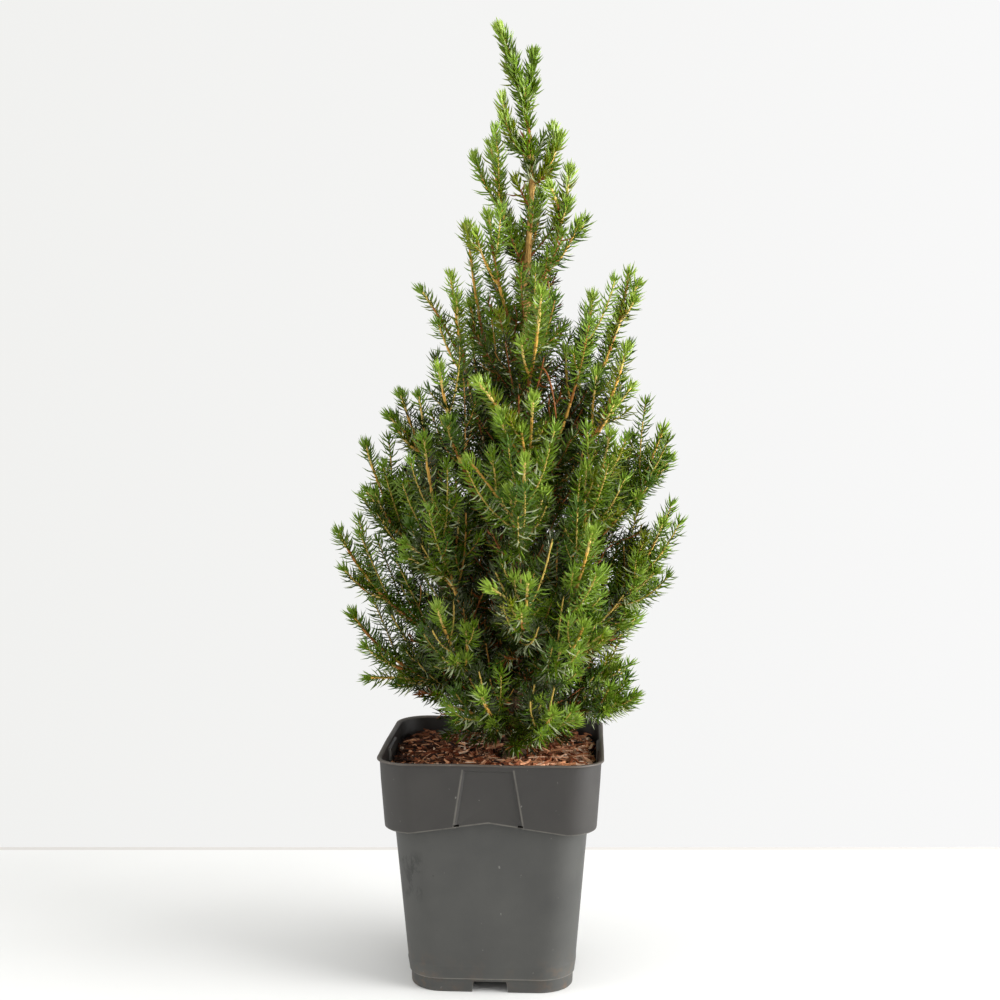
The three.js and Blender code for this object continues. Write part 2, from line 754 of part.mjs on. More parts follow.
add("pot", potGeometry(), POT_PLASTIC);
add("mulch", mulchGeometry(), MULCH_BARK);
add("trunk", trunkGeometry(), WOOD_BARK);
for (const bough of boughs) {
  add(`bough_${bough.name}`, boughGeometry(bough), WOOD_BARK);
}
for (const owner of ["leader", ...limbs.map(({ name }) => name)]) {
  add(`mass_${owner}`, massGeometry(owner, crown), NEEDLES);
}

export default tree;
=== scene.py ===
"""Dwarf Alberta spruce in a square nursery pot: the looks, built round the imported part.

The crown is grown by the rule of the part's source, in millimetres, and carried on to finer twigs
and needles. Every mesh is made in metres, in the frame's own axes: +Z up, the front towards -Y.
"""

import math

import bpy
import numpy as np
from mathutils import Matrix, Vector, noise


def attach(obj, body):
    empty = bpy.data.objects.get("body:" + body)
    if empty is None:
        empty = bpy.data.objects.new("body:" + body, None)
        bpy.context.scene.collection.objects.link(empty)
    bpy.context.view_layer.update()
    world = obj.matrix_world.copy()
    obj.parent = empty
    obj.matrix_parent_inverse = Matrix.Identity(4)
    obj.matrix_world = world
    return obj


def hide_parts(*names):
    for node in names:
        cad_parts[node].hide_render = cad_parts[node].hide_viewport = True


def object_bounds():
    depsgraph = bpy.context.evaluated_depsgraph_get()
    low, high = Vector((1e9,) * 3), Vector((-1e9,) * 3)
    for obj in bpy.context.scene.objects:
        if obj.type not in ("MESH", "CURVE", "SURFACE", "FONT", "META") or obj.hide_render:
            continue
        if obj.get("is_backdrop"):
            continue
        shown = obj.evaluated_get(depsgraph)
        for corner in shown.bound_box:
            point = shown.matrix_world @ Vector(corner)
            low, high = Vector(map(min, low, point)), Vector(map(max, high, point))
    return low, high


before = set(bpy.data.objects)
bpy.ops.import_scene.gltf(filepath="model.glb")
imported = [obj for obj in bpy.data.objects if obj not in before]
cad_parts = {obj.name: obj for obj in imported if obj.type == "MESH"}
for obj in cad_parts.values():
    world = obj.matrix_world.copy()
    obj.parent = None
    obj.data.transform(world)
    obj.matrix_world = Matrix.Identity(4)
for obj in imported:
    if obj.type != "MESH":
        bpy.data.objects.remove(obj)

CAD_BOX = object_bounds()
BODY = "root"
MM = 0.001
GOLDEN_TURN = 137.5
UP = np.array([0.0, 0.0, 1.0])


# ---------- the plant's measures, as in the part's source ----------

GAP = 0.3
MULCH_TOP = 146

TRUNK = dict(
    foot_x=13, lean=20, bow=555, bow_from=0.76, crown_top=645, tip=570, tip_radius=1.3,
    foot_radius=5.9, flare=3.2, flare_height=9, ridge=0.14, ridges=3,
)

CROWN_TURN = -2.8
# Limbs: height of the foot on the trunk, compass from +X, reach and height of the tip, whether a
# bough carries it, and forks as (share of the way out, compass, reach, height).
LIMBS = [
    (552, -166, 20, 588, False, [(0.35, -174, 20, 600)]),
    (535, 2, 20, 574, False, [(0.3, 30, 15, 582)]),
    (480, -178, 25, 570, False, []),
    (450, 2, 31, 553, False, [(0.6, -56, 27, 538)]),
    (425, -140, 29, 522, False, []),
    (385, -73, 66, 467, False, []),
    (365, -176, 36, 517, False, []),
    (318, -158, 47, 482, True, [(0.6, -177, 70, 472)]),
    (318, -20, 56, 468, True, []),
    (330, 8, 77, 485, True, [(0.7, 4, 84, 476)]),
    (310, -13, 78, 433, False, [(0.45, 6, 82, 406)]),
    (305, -78, 91, 399, True, [(0.35, -106, 83, 410)]),
    (285, -128, 74, 421, True, []),
    (290, -171, 80, 402, True, [(0.6, -170, 92, 386)]),
    (255, 5, 102, 378, True, [(0.45, -16, 90, 331)]),
    (245, -81, 102, 362, True, [(0.4, -106, 94, 361)]),
    (235, -39, 87, 377, True, []),
    (225, -173, 103, 368, True, [(0.45, 168, 88, 334), (0.5, -168, 105, 336)]),
    (185, -130, 83, 376, True, [(0.4, -138, 96, 303), (0.35, -148, 89, 291)]),
    (205, -173, 122, 307, False, [(0.5, -178, 111, 272)]),
    (178, -172, 113, 250, False, [(0.3, -175, 108, 200)]),
    (205, 3, 103, 314, False, [(0.5, 8, 107, 293), (0.3, -3, 102, 281)]),
    (205, -55, 101, 316, False, [(0.5, -50, 103, 283)]),
    (215, -80, 111, 286, False, [(0.6, -96, 111, 282)]),
    (195, -58, 101, 255, False, [(0.5, -41, 95, 247)]),
    (172, -2, 84, 192, False, [(0.4, -30, 76, 187)]),
    (162, -68, 91, 197, False, [(0.4, -48, 82, 188)]),
    (168, -98, 90, 210, False, [(0.3, -128, 76, 196)]),
    (182, -117, 93, 266, False, [(0.4, -112, 88, 229)]),
]
# Back tiers: foot, reach, tip, compasses, forked, carried.
BACK_TIERS = [
    (168, 94, 205, (42, 92, 144), True, False),
    (195, 106, 275, (30, 78, 128), True, False),
    (242, 102, 358, (42, 92, 142), True, True),
    (322, 76, 442, (52, 122), True, False),
    (390, 47, 490, (92,), False, False),
    (455, 26, 545, (88,), False, False),
]
BACK_FORK = dict(share=0.42, turn=17, reach=1.02, drop=0.3)
TIER_STAGGER = 8
SIDES = ["right", "back_right", "back", "back_left", "left", "front_left", "front", "front_right"]

LIMB = dict(
    out=0.75, up=0.3, fork_lead=0.4, bough_share=0.42, fork_past_bough=0.08,
    foot_radius=2.5, tip_radius=1.5,
)
NEEDLE_CLEAR = 0.6
BARE = dict(on_trunk=0.24, on_bough=0.04, on_limb=0.12, on_stem=0.3, leader=0.03)
# The kinds of shoots: leading stems, forks, the source's side twigs, then the finer ones.
STEM, FORK, SOURCE_TWIG, SIDE_TWIG, SPRIG, INNER_TWIG = range(6)
PATH = dict(shoot_step=9, fewest=3, trunk_pieces=24, bough_pieces=8)
CLEAR_OF_MULCH = 4
LEADER_BOW = 2

# Side twigs of a stem. The source's own come first, then the finer ones that only show here.
SOURCE_TWIGS = dict(
    every=80, first=0.12, last=0.62, jitter=0.6, lean=32, least=16, most=37, share=0.42,
    length_jitter=0.25, shorten=0.0, bare=BARE["on_stem"], clear=8, rise=0.38, seed=11,
)
SIDE_TWIGS = dict(
    every=11, first=0.0, last=0.66, jitter=0.8, lean=36, least=15, most=44, share=0.55,
    length_jitter=0.3, shorten=0.6, bare=0.06, clear=4.2, rise=0.34, seed=23, keep_in=1.0,
)
SPRIGS = dict(
    every=17, first=0.05, last=0.55, jitter=0.9, lean=42, least=10, most=18, share=0.5,
    length_jitter=0.3, shorten=0.5, bare=0.04, clear=3.6, rise=0.1, seed=37, keep_in=0.8,
)
INNER_TWIGS = dict(
    every=6.5, first=0.12, last=1.0, jitter=0.9, lean=50, least=14, most=34, share=0.6,
    length_jitter=0.35, shorten=0.0, bare=0.1, clear=2.0, rise=0.1, seed=41,
)
LEADER_TWIGS = dict(
    every=5.5, first=0.0, last=0.66, jitter=0.8, lean=30, least=8, most=14, share=0.24,
    length_jitter=0.35, shorten=0.35, bare=0.04, clear=1.6, rise=0.1, seed=61, keep_in=1.8,
)
TWIG_SHAPE = dict(to_bend=0.55, out_from_bend=0.2, forward_from_bend=0.3, points=14, test_from=3)
SPRIG_STEM = 20  # sprigs grow on shoots that are longer than this


def unit(vectors):
    return vectors / np.linalg.norm(vectors, axis=-1, keepdims=True)


def lerp(a, b, share):
    return a + (b - a) * share


def draws(seed):
    """Even draws between 0 and 1 that come out the same every time, as in the source."""
    state = seed

    def draw():
        nonlocal state
        state = (1664525 * state + 1013904223) % 4294967296
        return state / 4294967296

    draw()
    draw()
    return draw


class Curve:
    """A quadratic curve in millimetres, from its start by way of a bend to its end."""

    MEASURED_PIECES = 200

    def __init__(self, start, bend, end):
        self.start, self.bend, self.end = (np.asarray(p, float) for p in (start, bend, end))
        steps = self.at(np.linspace(0, 1, self.MEASURED_PIECES + 1))
        self.length = float(np.linalg.norm(np.diff(steps, axis=0), axis=1).sum())

    def at(self, share):
        t = np.asarray(share, float)[..., None]
        return (1 - t) ** 2 * self.start + 2 * t * (1 - t) * self.bend + t * t * self.end

    def heading(self, share):
        t = np.asarray(share, float)[..., None]
        return unit((1 - t) * (self.bend - self.start) + t * (self.end - self.bend))


class Shoot:
    """A stem or twig of a mass: its curve, in use from `start` on and bare up to `bare_to`."""

    def __init__(self, curve, owner, bare_to, start=0.0, rank=STEM):
        self.curve, self.owner, self.start, self.bare_to = curve, owner, start, bare_to
        self.rank, self.length = rank, curve.length
        pieces = max(PATH["fewest"], math.floor(self.length / PATH["shoot_step"] + 0.5))
        self.path = curve.at(np.linspace(start, 1, pieces + 1))


def trunk_centre(z):
    z = np.asarray(z, float)
    share = (z - MULCH_TOP) / (TRUNK["crown_top"] - MULCH_TOP)
    bow = TRUNK["bow"] * np.maximum(0, share - TRUNK["bow_from"]) ** 2
    x = TRUNK["foot_x"] + TRUNK["lean"] * share**2 - bow
    return np.stack([x, np.zeros_like(x), z], axis=-1)


def trunk_radius(z):
    z = np.asarray(z, float)
    share = np.clip((z - MULCH_TOP) / (TRUNK["tip"] - MULCH_TOP), 0, 1)
    taper = lerp(TRUNK["foot_radius"], TRUNK["tip_radius"], share)
    return taper + TRUNK["flare"] * np.exp(-(z - MULCH_TOP) / TRUNK["flare_height"])


def tip_of(base, compass, reach, height):
    angle = math.radians(compass + CROWN_TURN)
    return np.array([base[0] + reach * math.cos(angle), base[1] + reach * math.sin(angle), height])


def limb_curve(foot, compass, reach, tip):
    start = trunk_centre(foot)
    end = tip_of(start, compass, reach, tip)
    bend = lerp(start, end, LIMB["out"])
    bend[2] = lerp(foot, tip, LIMB["up"])
    return Curve(start, bend, end)


def fork_curve(parent, base, share, compass, reach, height):
    start = parent.at(share)
    end = tip_of(base, compass, reach, height)
    lead = LIMB["fork_lead"] * np.linalg.norm(end - start)
    return Curve(start, start + parent.heading(share) * lead, end)


def frame_at(curve, share):
    """A point of a curve, the curve's heading there and two cross axes."""
    point, way = curve.at(share), curve.heading(share)
    side = unit(np.cross(UP, way))
    side = side - way * side.dot(way)
    side = side / np.linalg.norm(side)
    return point, way, side, np.cross(way, side)


# ---------- growing the crown ----------

def lay_out():
    """Every limb, named by its side of the plant and numbered from the lowest tip up."""
    rows = list(LIMBS)
    for tier_foot, reach, tip, compasses, forked, carried in BACK_TIERS:
        for k, compass in enumerate(compasses):
            foot = tier_foot + k * TIER_STAGGER
            turned = compass + (-1 if k % 2 else 1) * BACK_FORK["turn"]
            height = lerp(tip, foot, BACK_FORK["drop"])
            fork = (BACK_FORK["share"], turned, reach * BACK_FORK["reach"], height)
            rows.append((foot, compass, reach, tip, carried, [fork] if forked else []))
    tally, limbs = {}, []
    for foot, compass, reach, tip, carried, forks in sorted(rows, key=lambda row: row[3]):
        side = SIDES[math.floor(compass / 45 + 0.5) % 8]
        tally[side] = tally.get(side, 0) + 1
        curve = limb_curve(foot, compass, reach, tip)
        limbs.append(dict(name=f"{side}_{tally[side]}", foot=foot, carried=carried, forks=forks,
                          curve=curve))
    return limbs


def stems_of(limb):
    """A limb's leading stem, then one to each fork."""
    curve, owner = limb["curve"], limb["name"]
    if limb["carried"]:
        start = LIMB["bough_share"] + GAP / curve.length
        leading = Shoot(curve, owner, start + BARE["on_bough"], start)
    else:
        leading = Shoot(curve, owner, BARE["on_trunk"])
    stems = [leading]
    for share, *end in limb["forks"]:
        share = max(share, leading.start + LIMB["fork_past_bough"])
        branch = fork_curve(curve, trunk_centre(limb["foot"]), share, *end)
        stems.append(Shoot(branch, owner, BARE["on_limb"], rank=FORK))
    return stems


def leader_stem():
    """The leading shoot goes on from the trunk's tip to the top of the crown."""
    start, end = trunk_centre(TRUNK["tip"] + GAP), trunk_centre(TRUNK["crown_top"])
    bend = trunk_centre(lerp(TRUNK["tip"], TRUNK["crown_top"], 0.5)) + [LEADER_BOW, 0, 0]
    return Shoot(Curve(start, bend, end), "leader", BARE["leader"])


def distances(points, starts, ends):
    """Distance of each point from each straight piece, as a table."""
    way = ends - starts
    off = points[:, None] - starts[None]
    along = np.clip((off * way).sum(-1) / np.maximum((way * way).sum(-1), 1e-9), 0, 1)
    return np.linalg.norm(off - along[..., None] * way, axis=-1)


class Crowd:
    """The straight pieces of the wood and of every shoot, which a new twig keeps clear of."""

    PLACES = 30000
    NEAR = 40  # only pieces this close to a finer twig's middle are tested
    def __init__(self, boughs):
        self.starts, self.ends = np.zeros((self.PLACES, 3)), np.zeros((self.PLACES, 3))
        self.rooms, self.shoots = np.zeros(self.PLACES), np.zeros(self.PLACES, int)
        self.owners = np.full(self.PLACES, "", dtype="U24")
        self.count = 0
        joints = trunk_centre(np.linspace(MULCH_TOP, TRUNK["tip"], PATH["trunk_pieces"] + 1))
        for a, b in zip(joints[:-1], joints[1:]):
            self.add([a, b], float(trunk_radius(a[2])) + NEEDLE_CLEAR, "wood")
        shares = np.linspace(0, LIMB["bough_share"], PATH["bough_pieces"] + 1)
        for bough in boughs:
            self.add(bough["curve"].at(shares), LIMB["foot_radius"] + NEEDLE_CLEAR, "wood")

    def add(self, path, room, owner, shoot=0):
        places = slice(self.count, self.count + len(path) - 1)
        self.starts[places], self.ends[places] = path[:-1], path[1:]
        self.rooms[places], self.owners[places], self.shoots[places] = room, owner, shoot
        self.count += len(path) - 1

    def add_shoot(self, shoot):
        self.add(shoot.path, 0, shoot.owner, id(shoot))

    def clear_of(self, points, others, clear):
        """Whether the points keep their distance from the pieces that `others` picks out."""
        starts, ends = self.starts[: self.count][others], self.ends[: self.count][others]
        room = np.maximum(self.rooms[: self.count][others], clear)
        return bool((distances(points, starts, ends) >= room).all())

    def has_room(self, points, owner, clear):
        """The source's test: clear of the mulch, the wood and the shoots of other masses."""
        if (points[:, 2] < MULCH_TOP + CLEAR_OF_MULCH).any():
            return False
        return self.clear_of(points, self.owners[: self.count] != owner, clear)

    def has_room_by(self, points, stem, clear):
        """The finer twigs' test: clear of every shoot but the stem that it springs from."""
        near = np.abs(self.starts[: self.count] - points.mean(0)).max(1) < self.NEAR
        return self.clear_of(points, near & (self.shoots[: self.count] != id(stem)), clear)


def side_twigs(stem, rule, draw, rank):
    """Side twigs stand round a stem in a steady turn, head forward and out, and curve back."""
    dressed = stem.length * (1 - stem.bare_to)
    count = math.floor(dressed / rule["every"] + 0.5)
    lean, turn = math.radians(rule["lean"]), draw() * 360
    twigs = []
    for k in range(count):
        along = lerp(rule["first"], rule["last"], (k + draw() * rule["jitter"]) / count)
        share = lerp(stem.bare_to, 1, along)
        point, way, side, across = frame_at(stem.curve, share)
        angle = math.radians(turn + GOLDEN_TURN * k)
        aside = side * math.cos(angle) + across * math.sin(angle)
        wanted = dressed * rule["share"] * (1 + rule["length_jitter"] * (2 * draw() - 1))
        length = min(max(wanted * (1 - rule["shorten"] * along), rule["least"]), rule["most"])
        out = way * math.cos(lean) + aside * math.sin(lean)
        bend = point + out * length * TWIG_SHAPE["to_bend"]
        end = bend + out * length * TWIG_SHAPE["out_from_bend"]
        end = end + way * length * TWIG_SHAPE["forward_from_bend"]
        end = end + UP * length * rule["rise"]
        twigs.append(Shoot(Curve(point, bend, end), stem.owner, rule["bare"], rank=rank))
    return twigs


def grow_source_crown(limbs, boughs):
    """The shoots that the source has: each mass's stems and the side twigs that find room."""
    stems = [leader_stem()] + [stem for limb in limbs for stem in stems_of(limb)]
    shoots, draw = list(stems), draws(SOURCE_TWIGS["seed"])
    crowd = Crowd(boughs)
    for stem in stems:
        crowd.add_shoot(stem)
    shares = np.linspace(0, 1, TWIG_SHAPE["points"] + 1)[TWIG_SHAPE["test_from"]:]
    for stem in stems:
        for twig in side_twigs(stem, SOURCE_TWIGS, draw, SOURCE_TWIG):
            if crowd.has_room(twig.curve.at(shares), twig.owner, SOURCE_TWIGS["clear"]):
                crowd.add_shoot(twig)
                shoots.append(twig)
    return shoots, crowd


# ---------- finer twigs ----------

# Height against how far the limbs' tips stand from the trunk's line.
REACH_AT = ((150, 180, 250, 310, 370, 430, 480, 520, 590, 645),
            (70, 92, 104, 112, 104, 84, 72, 36, 22, 8))
# Twigs on the trunk itself. The spacing, lean from upright and rise go by height.
TRUNK_TWIGS = dict(
    foot=154, top=556, every=((154, 400, 450), (2.2, 2.2, 8)), least_step=0.5,
    lean=((154, 176, 205, 440, 560), (94, 82, 58, 52, 30)),
    rise=((154, 176, 205), (-0.1, 0.1, 0.25)), reach=0.6, least=0.6, more=0.6,
    to_bend=0.6, out_from_bend=0.25, bare=0.22,
)
PAST_BARE = 0.08  # inner twigs go on this far past the bare foot of a limb
# The shares of a finer twig's length where its room is tested.
SIDE_TESTED, INNER_TESTED = np.linspace(0.3, 1, 6), np.linspace(0.25, 1, 6)
AIRY_FROM, TOP_AIR = 385, 2.7  # above this height finer twigs stand this much further apart
# Above this height sprays are lighter, both for the younger growth there and as painted light where
# light shines through the thin top shoots.
HIGH_UP = 430  # above this height the sprays are lighter
ABOVE_RIM = dict(half=66, height=163)  # over the pot's wall the crown keeps above the rim
FINE_CLEAR, TOP_CLEAR = 10, 18  # how far finer twigs keep from the mulch and the crown's top
BENT_TWIG = dict(foot=392, arch=((37, -64, 440), (43, -50, 379)))


def crown_reach(z):
    return np.interp(z, *REACH_AT)


def outwardness(points):
    """0 at the trunk's line and 1 at the crown's edge, at each point's own height."""
    off = points[..., :2] - trunk_centre(points[..., 2])[..., :2]
    return np.linalg.norm(off, axis=-1) / crown_reach(points[..., 2])


def over_mulch(points, clear):
    """Whether points stand clear above the mulch and, past the pot's wall, above its rim."""
    wide = np.abs(points[..., :2]).max(-1) > ABOVE_RIM["half"]
    return points[..., 2] > np.where(wide, ABOVE_RIM["height"], MULCH_TOP + clear)


def finer_twigs(shoots, rule, rank, crowd, wanted=lambda shoot: True):
    """One more order of side twigs, from the shoots that are wanted, where there is room."""
    draw, grown = draws(rule["seed"]), []
    for stem in filter(wanted, shoots):
        for twig in side_twigs(stem, rule, draw, rank):
            points = twig.curve.at(SIDE_TESTED)
            end = points[-1]
            inside = outwardness(end) < rule["keep_in"] and over_mulch(points, FINE_CLEAR).all()
            inside = inside and end[2] < TRUNK["crown_top"] - TOP_CLEAR
            clear = rule["clear"] * (TOP_AIR if end[2] > AIRY_FROM else 1)
            if inside and crowd.has_room_by(points, stem, clear):
                crowd.add_shoot(twig)
                grown.append(twig)
    return grown


def trunk_twigs(draw):
    """Twigs all up the trunk in a steady turn, one at a time as each is asked for."""
    rule, z, angle = TRUNK_TWIGS, TRUNK_TWIGS["foot"], 0.0
    while z < rule["top"]:
        z += np.interp(z, *rule["every"]) * (rule["least_step"] + draw())
        angle += GOLDEN_TURN
        turn, lean = math.radians(angle), math.radians(np.interp(z, *rule["lean"]))
        point = trunk_centre(z)
        out = np.array([math.cos(turn) * math.sin(lean), math.sin(turn) * math.sin(lean),
                        math.cos(lean)])
        length = crown_reach(z) * rule["reach"] * (rule["least"] + rule["more"] * draw())
        bend = point + out * length * rule["to_bend"]
        rise = UP * length * np.interp(z, *rule["rise"])
        end = bend + out * length * rule["out_from_bend"] + rise
        yield Shoot(Curve(point, bend, end), "trunk", rule["bare"], rank=INNER_TWIG)


def limb_foot_twigs(limbs, draw):
    """Side twigs on the boughs and on the bare feet of the other limbs."""
    for limb in limbs:
        far = LIMB["bough_share"] if limb["carried"] else BARE["on_trunk"] + PAST_BARE
        stem = Shoot(first_stretch(limb["curve"], far), limb["name"], 0.0)
        yield from side_twigs(stem, INNER_TWIGS, draw, INNER_TWIG)


def inner_twigs(limbs, crowd):
    """Short twigs fill the crown's middle, where there is room."""
    draw, grown = draws(INNER_TWIGS["seed"]), []
    for twigs in (trunk_twigs(draw), limb_foot_twigs(limbs, draw)):
        for twig in twigs:
            points = twig.curve.at(INNER_TESTED)
            room = over_mulch(points, FINE_CLEAR).all()
            if room and crowd.has_room_by(points, None, INNER_TWIGS["clear"]):
                crowd.add_shoot(twig)
                grown.append(twig)
    return grown


def bent_twig():
    """One bare twig that was bent over arches out of the crown and hangs down."""
    arch = np.array(BENT_TWIG["arch"], float)
    return Shoot(Curve(trunk_centre(BENT_TWIG["foot"]), *arch), "trunk", 0.0, rank=INNER_TWIG)


def first_stretch(curve, share):
    """The first stretch of a quadratic curve, as a curve of its own."""
    return Curve(curve.start, lerp(curve.start, curve.bend, share), curve.at(share))


# ---------- meshes ----------

def in_scene(name, data):
    """A new object of the scene that holds a mesh, a lamp or the camera."""
    made = bpy.data.objects.new(name, data)
    bpy.context.scene.collection.objects.link(made)
    return made


def new_object(name, verts, faces, look, smooth=True):
    """A mesh object from points in millimetres and faces that all have as many corners."""
    verts, faces = np.asarray(verts, float) * MM, np.asarray(faces, np.int32)
    mesh = bpy.data.meshes.new(name)
    mesh.vertices.add(len(verts))
    mesh.vertices.foreach_set("co", verts.astype(np.float32).ravel())
    mesh.loops.add(faces.size)
    mesh.loops.foreach_set("vertex_index", faces.ravel())
    mesh.polygons.add(len(faces))
    starts = np.arange(len(faces), dtype=np.int32) * faces.shape[1]
    mesh.polygons.foreach_set("loop_start", starts)
    mesh.polygons.foreach_set("use_smooth", np.full(len(faces), smooth))
    mesh.update(calc_edges=True)
    mesh.materials.append(look)
    return in_scene(name, mesh)


def part_piece(piece, slot, *nodes):
    """Rides on the plant and stands for the nodes, which it hides. The slot is not used."""
    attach(piece, BODY)
    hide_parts(*nodes)


def loft_faces(rings, around):
    """Four-cornered faces between rings of points, the first ring lowest."""
    ring, k = np.meshgrid(np.arange(rings - 1), np.arange(around), indexing="ij")
    here, ahead = ring * around + k, ring * around + (k + 1) % around
    return np.stack([here, ahead, ahead + around, here + around], -1).reshape(-1, 4)


def closed_loft(rings):
    """Points and triangles of a closed loft. Each end closes on its ring's middle."""
    rings = np.asarray(rings, float)
    count, around = rings.shape[:2]
    quads = loft_faces(count, around)
    verts = np.concatenate([rings.reshape(-1, 3), [rings[0].mean(0), rings[-1].mean(0)]])
    k = np.arange(around)
    ahead, low, high = (k + 1) % around, count * around, count * around + 1
    top = (count - 1) * around
    caps = [np.stack([np.full(around, low), ahead, k], -1),
            np.stack([np.full(around, high), top + k, top + ahead], -1)]
    return verts, np.concatenate([quads[:, [0, 1, 2]], quads[:, [0, 2, 3]], *caps])


def evenly_round(count, turned=0.0):
    """Angles of the corners of a ring."""
    return np.arange(count) / count * 2 * math.pi + turned


def turns_about(sides, acrosses, angles):
    """A ring of directions round each point of a path, from its two cross axes."""
    cos, sin = np.cos(angles)[None, :, None], np.sin(angles)[None, :, None]
    return cos * sides[:, None] + sin * acrosses[:, None]


def turn_matrix(angle, low, high):
    """Turns points, as rows, by an angle in the plane of two axes."""
    matrix = np.eye(3)
    matrix[low, low] = matrix[high, high] = math.cos(angle)
    matrix[low, high], matrix[high, low] = math.sin(angle), -math.sin(angle)
    return matrix


class Pile:
    """Loose closed meshes, gathered to be joined into one piece."""

    def __init__(self):
        self.verts, self.faces, self.count = [], [], 0

    def add(self, verts, faces):
        self.verts.append(verts)
        self.faces.append(faces + self.count)
        self.count += len(verts)

    def joined(self):
        return np.concatenate(self.verts), np.concatenate(self.faces)


# ---------- stems and twigs ----------

TUBES = dict(stem_step=4.2, twig_step=4.6, stem_sides=7, twig_sides=5, wobble=0.17, fewest=3,
             turn_each=0.7)
KNOBS = ((1.0, 7, 0.9), (0.7, 3, 2.3))  # waves: how high, what shifts them, and how close
# Each kind's radius at its foot and its tip, and how it thins in between.
STEM_RADII = {STEM: (1.4, 0.9), FORK: (1.18, 0.78), SOURCE_TWIG: (1.02, 0.7),
              SIDE_TWIG: (0.7, 0.46), SPRIG: (0.46, 0.34), INNER_TWIG: (0.72, 0.42)}
THINNING = 0.8
# How far from its tip a stem turns from this year's pale wood to golden, brown and old wood.
WOOD_AGES = (("stems_new", 20), ("stems_golden", 62), ("stems_brown", 110), ("stems_old", 1e9))
WOOD_SPAN, WOOD_STRAY, WOOD_SEED = 13, 0.3, 53
BUD = dict(stem=6.5, twig=1, least_wood=0.6)  # how far short of its tip a shoot's wood ends
TWIG_AGE = {SIDE_TWIG: "twigs_golden", SPRIG: "twigs_golden", INNER_TWIG: "twigs_old"}
NEW_TWIG_OUT = 0.72  # twigs that end further out than this are this year's


def planar_frames(curve, shares):
    """Points, headings and cross axes along a curve, which lies in one plane."""
    normal = np.cross(curve.bend - curve.start, curve.end - curve.bend)
    if np.linalg.norm(normal) < 1e-6:
        normal = np.cross(curve.end - curve.start, [0.3, 1, 0.2])
    points, ways = curve.at(shares), curve.heading(shares)
    sides = np.broadcast_to(unit(normal), ways.shape)
    return points, ways, sides, np.cross(ways, sides)


def tube(curve, start, end, radii, sides, step, seed):
    """A closed tube along part of a curve, a little uneven like grown wood."""
    count = max(TUBES["fewest"], int(np.ceil((end - start) * curve.length / step)) + 1)
    shares = np.linspace(start, end, count)
    points, _, across, up = planar_frames(curve, shares)
    along = shares * curve.length
    knobs = sum(much * np.sin(seed * turn + along * close) for much, turn, close in KNOBS)
    radii = lerp(*radii, shares**THINNING) * (1 + TUBES["wobble"] * knobs)
    turns = turns_about(across, up, evenly_round(sides, seed))
    return closed_loft(points[:, None] + turns * radii[:, None, None])


def wood_end(shoot):
    """The share of a shoot's reach that its wood takes. The needles round its bud take the rest."""
    if shoot.rank >= SIDE_TWIG:
        return 1 - BUD["twig"] / shoot.length
    return max(BUD["least_wood"], 1 - BUD["stem"] / shoot.length)


def wood_ages(shoot, draw):
    """Short spans of a stem, each of the age that its distance from the tip gives, with strays."""
    names = [name for name, _ in WOOD_AGES]
    end = wood_end(shoot)
    count = max(1, round(shoot.length * (end - shoot.start) / WOOD_SPAN))
    edges = np.linspace(end, shoot.start, count + 1)
    for far, near in zip(edges[:-1], edges[1:]):
        to_tip = (1 - (near + far) / 2) * shoot.length
        age = next(k for k, (_, reach) in enumerate(WOOD_AGES) if to_tip <= reach)
        if draw() < WOOD_STRAY:
            age = min(max(age + (1 if draw() < 0.5 else -1), 0), len(names) - 1)
        yield names[age], near, far


def wood_of_shoots(shoots):
    """Every stem and twig as closed tubes, dealt out by the age of their wood."""
    piles, draw = {}, draws(WOOD_SEED)
    for k, shoot in enumerate(shoots):
        if shoot.rank < SIDE_TWIG:
            kind, spans = "stem", wood_ages(shoot, draw)
        else:
            new = shoot.rank != INNER_TWIG and outwardness(shoot.curve.end) > NEW_TWIG_OUT
            age = "twigs_new" if new else TWIG_AGE[shoot.rank]
            kind, spans = "twig", [(age, shoot.start, wood_end(shoot))]
        for age, near, far in spans:
            wood = tube(shoot.curve, near, far, STEM_RADII[shoot.rank], TUBES[f"{kind}_sides"],
                        TUBES[f"{kind}_step"], k * TUBES["turn_each"])
            piles.setdefault(age, Pile()).add(*wood)
    return piles


# ---------- needles ----------

NEEDLE = dict(
    length=9.9, radius=0.52, ring_at=0.52, root=0.8, curl=8, jitter=0.15, turn_jitter=24,
    lean_jitter=10, inner_length=0.95,
)
# The parting on the side of a stem that faces outwards: how bare, how soon, from how far back.
PARTING = dict(bare=0.82, edge=0.6, from_tip=11)
# Distance from the shoot's tip against the needles' angle from the shoot and their length.
NEEDLE_LEAN = ((0, 3, 8, 16, 30, 60), (28, 38, 50, 58, 64, 68))
NEEDLE_LONG = ((0, 4, 12, 60, 90), (0.78, 0.9, 1.0, 1.0, 0.92))
STOUT_AT = ((470, 560), (1.0, 1.3))  # needles are stouter towards the top of the crown
CLOSE_AT = ((500, 580), (1.0, 0.7))  # and stand closer to their shoots
HIGH_BARE = 0.4  # above HIGH_UP only this share of a shoot's bare foot stays bare
NEEDLES_PER_MM = {STEM: 3.2, FORK: 2.1, SOURCE_TWIG: 2.1, SIDE_TWIG: 1.8, SPRIG: 1.5,
                  INNER_TWIG: 1.7}
# The brush of needles round a bud: how many, over what length, and between which angles.
BRUSH = dict(
    counts={STEM: 20, FORK: 18, SOURCE_TWIG: 16, SIDE_TWIG: 7, SPRIG: 2, INNER_TWIG: 2},
    deep=2.6, lean=(4, 52), curl=12, curled=0.7,
)
# A needle is left out where this share along its foot and its tip meets soil, pot or trunk.
TESTED = dict(foot=0.4, tip=0.6, off_bark=0.5, off_mulch=3.0)
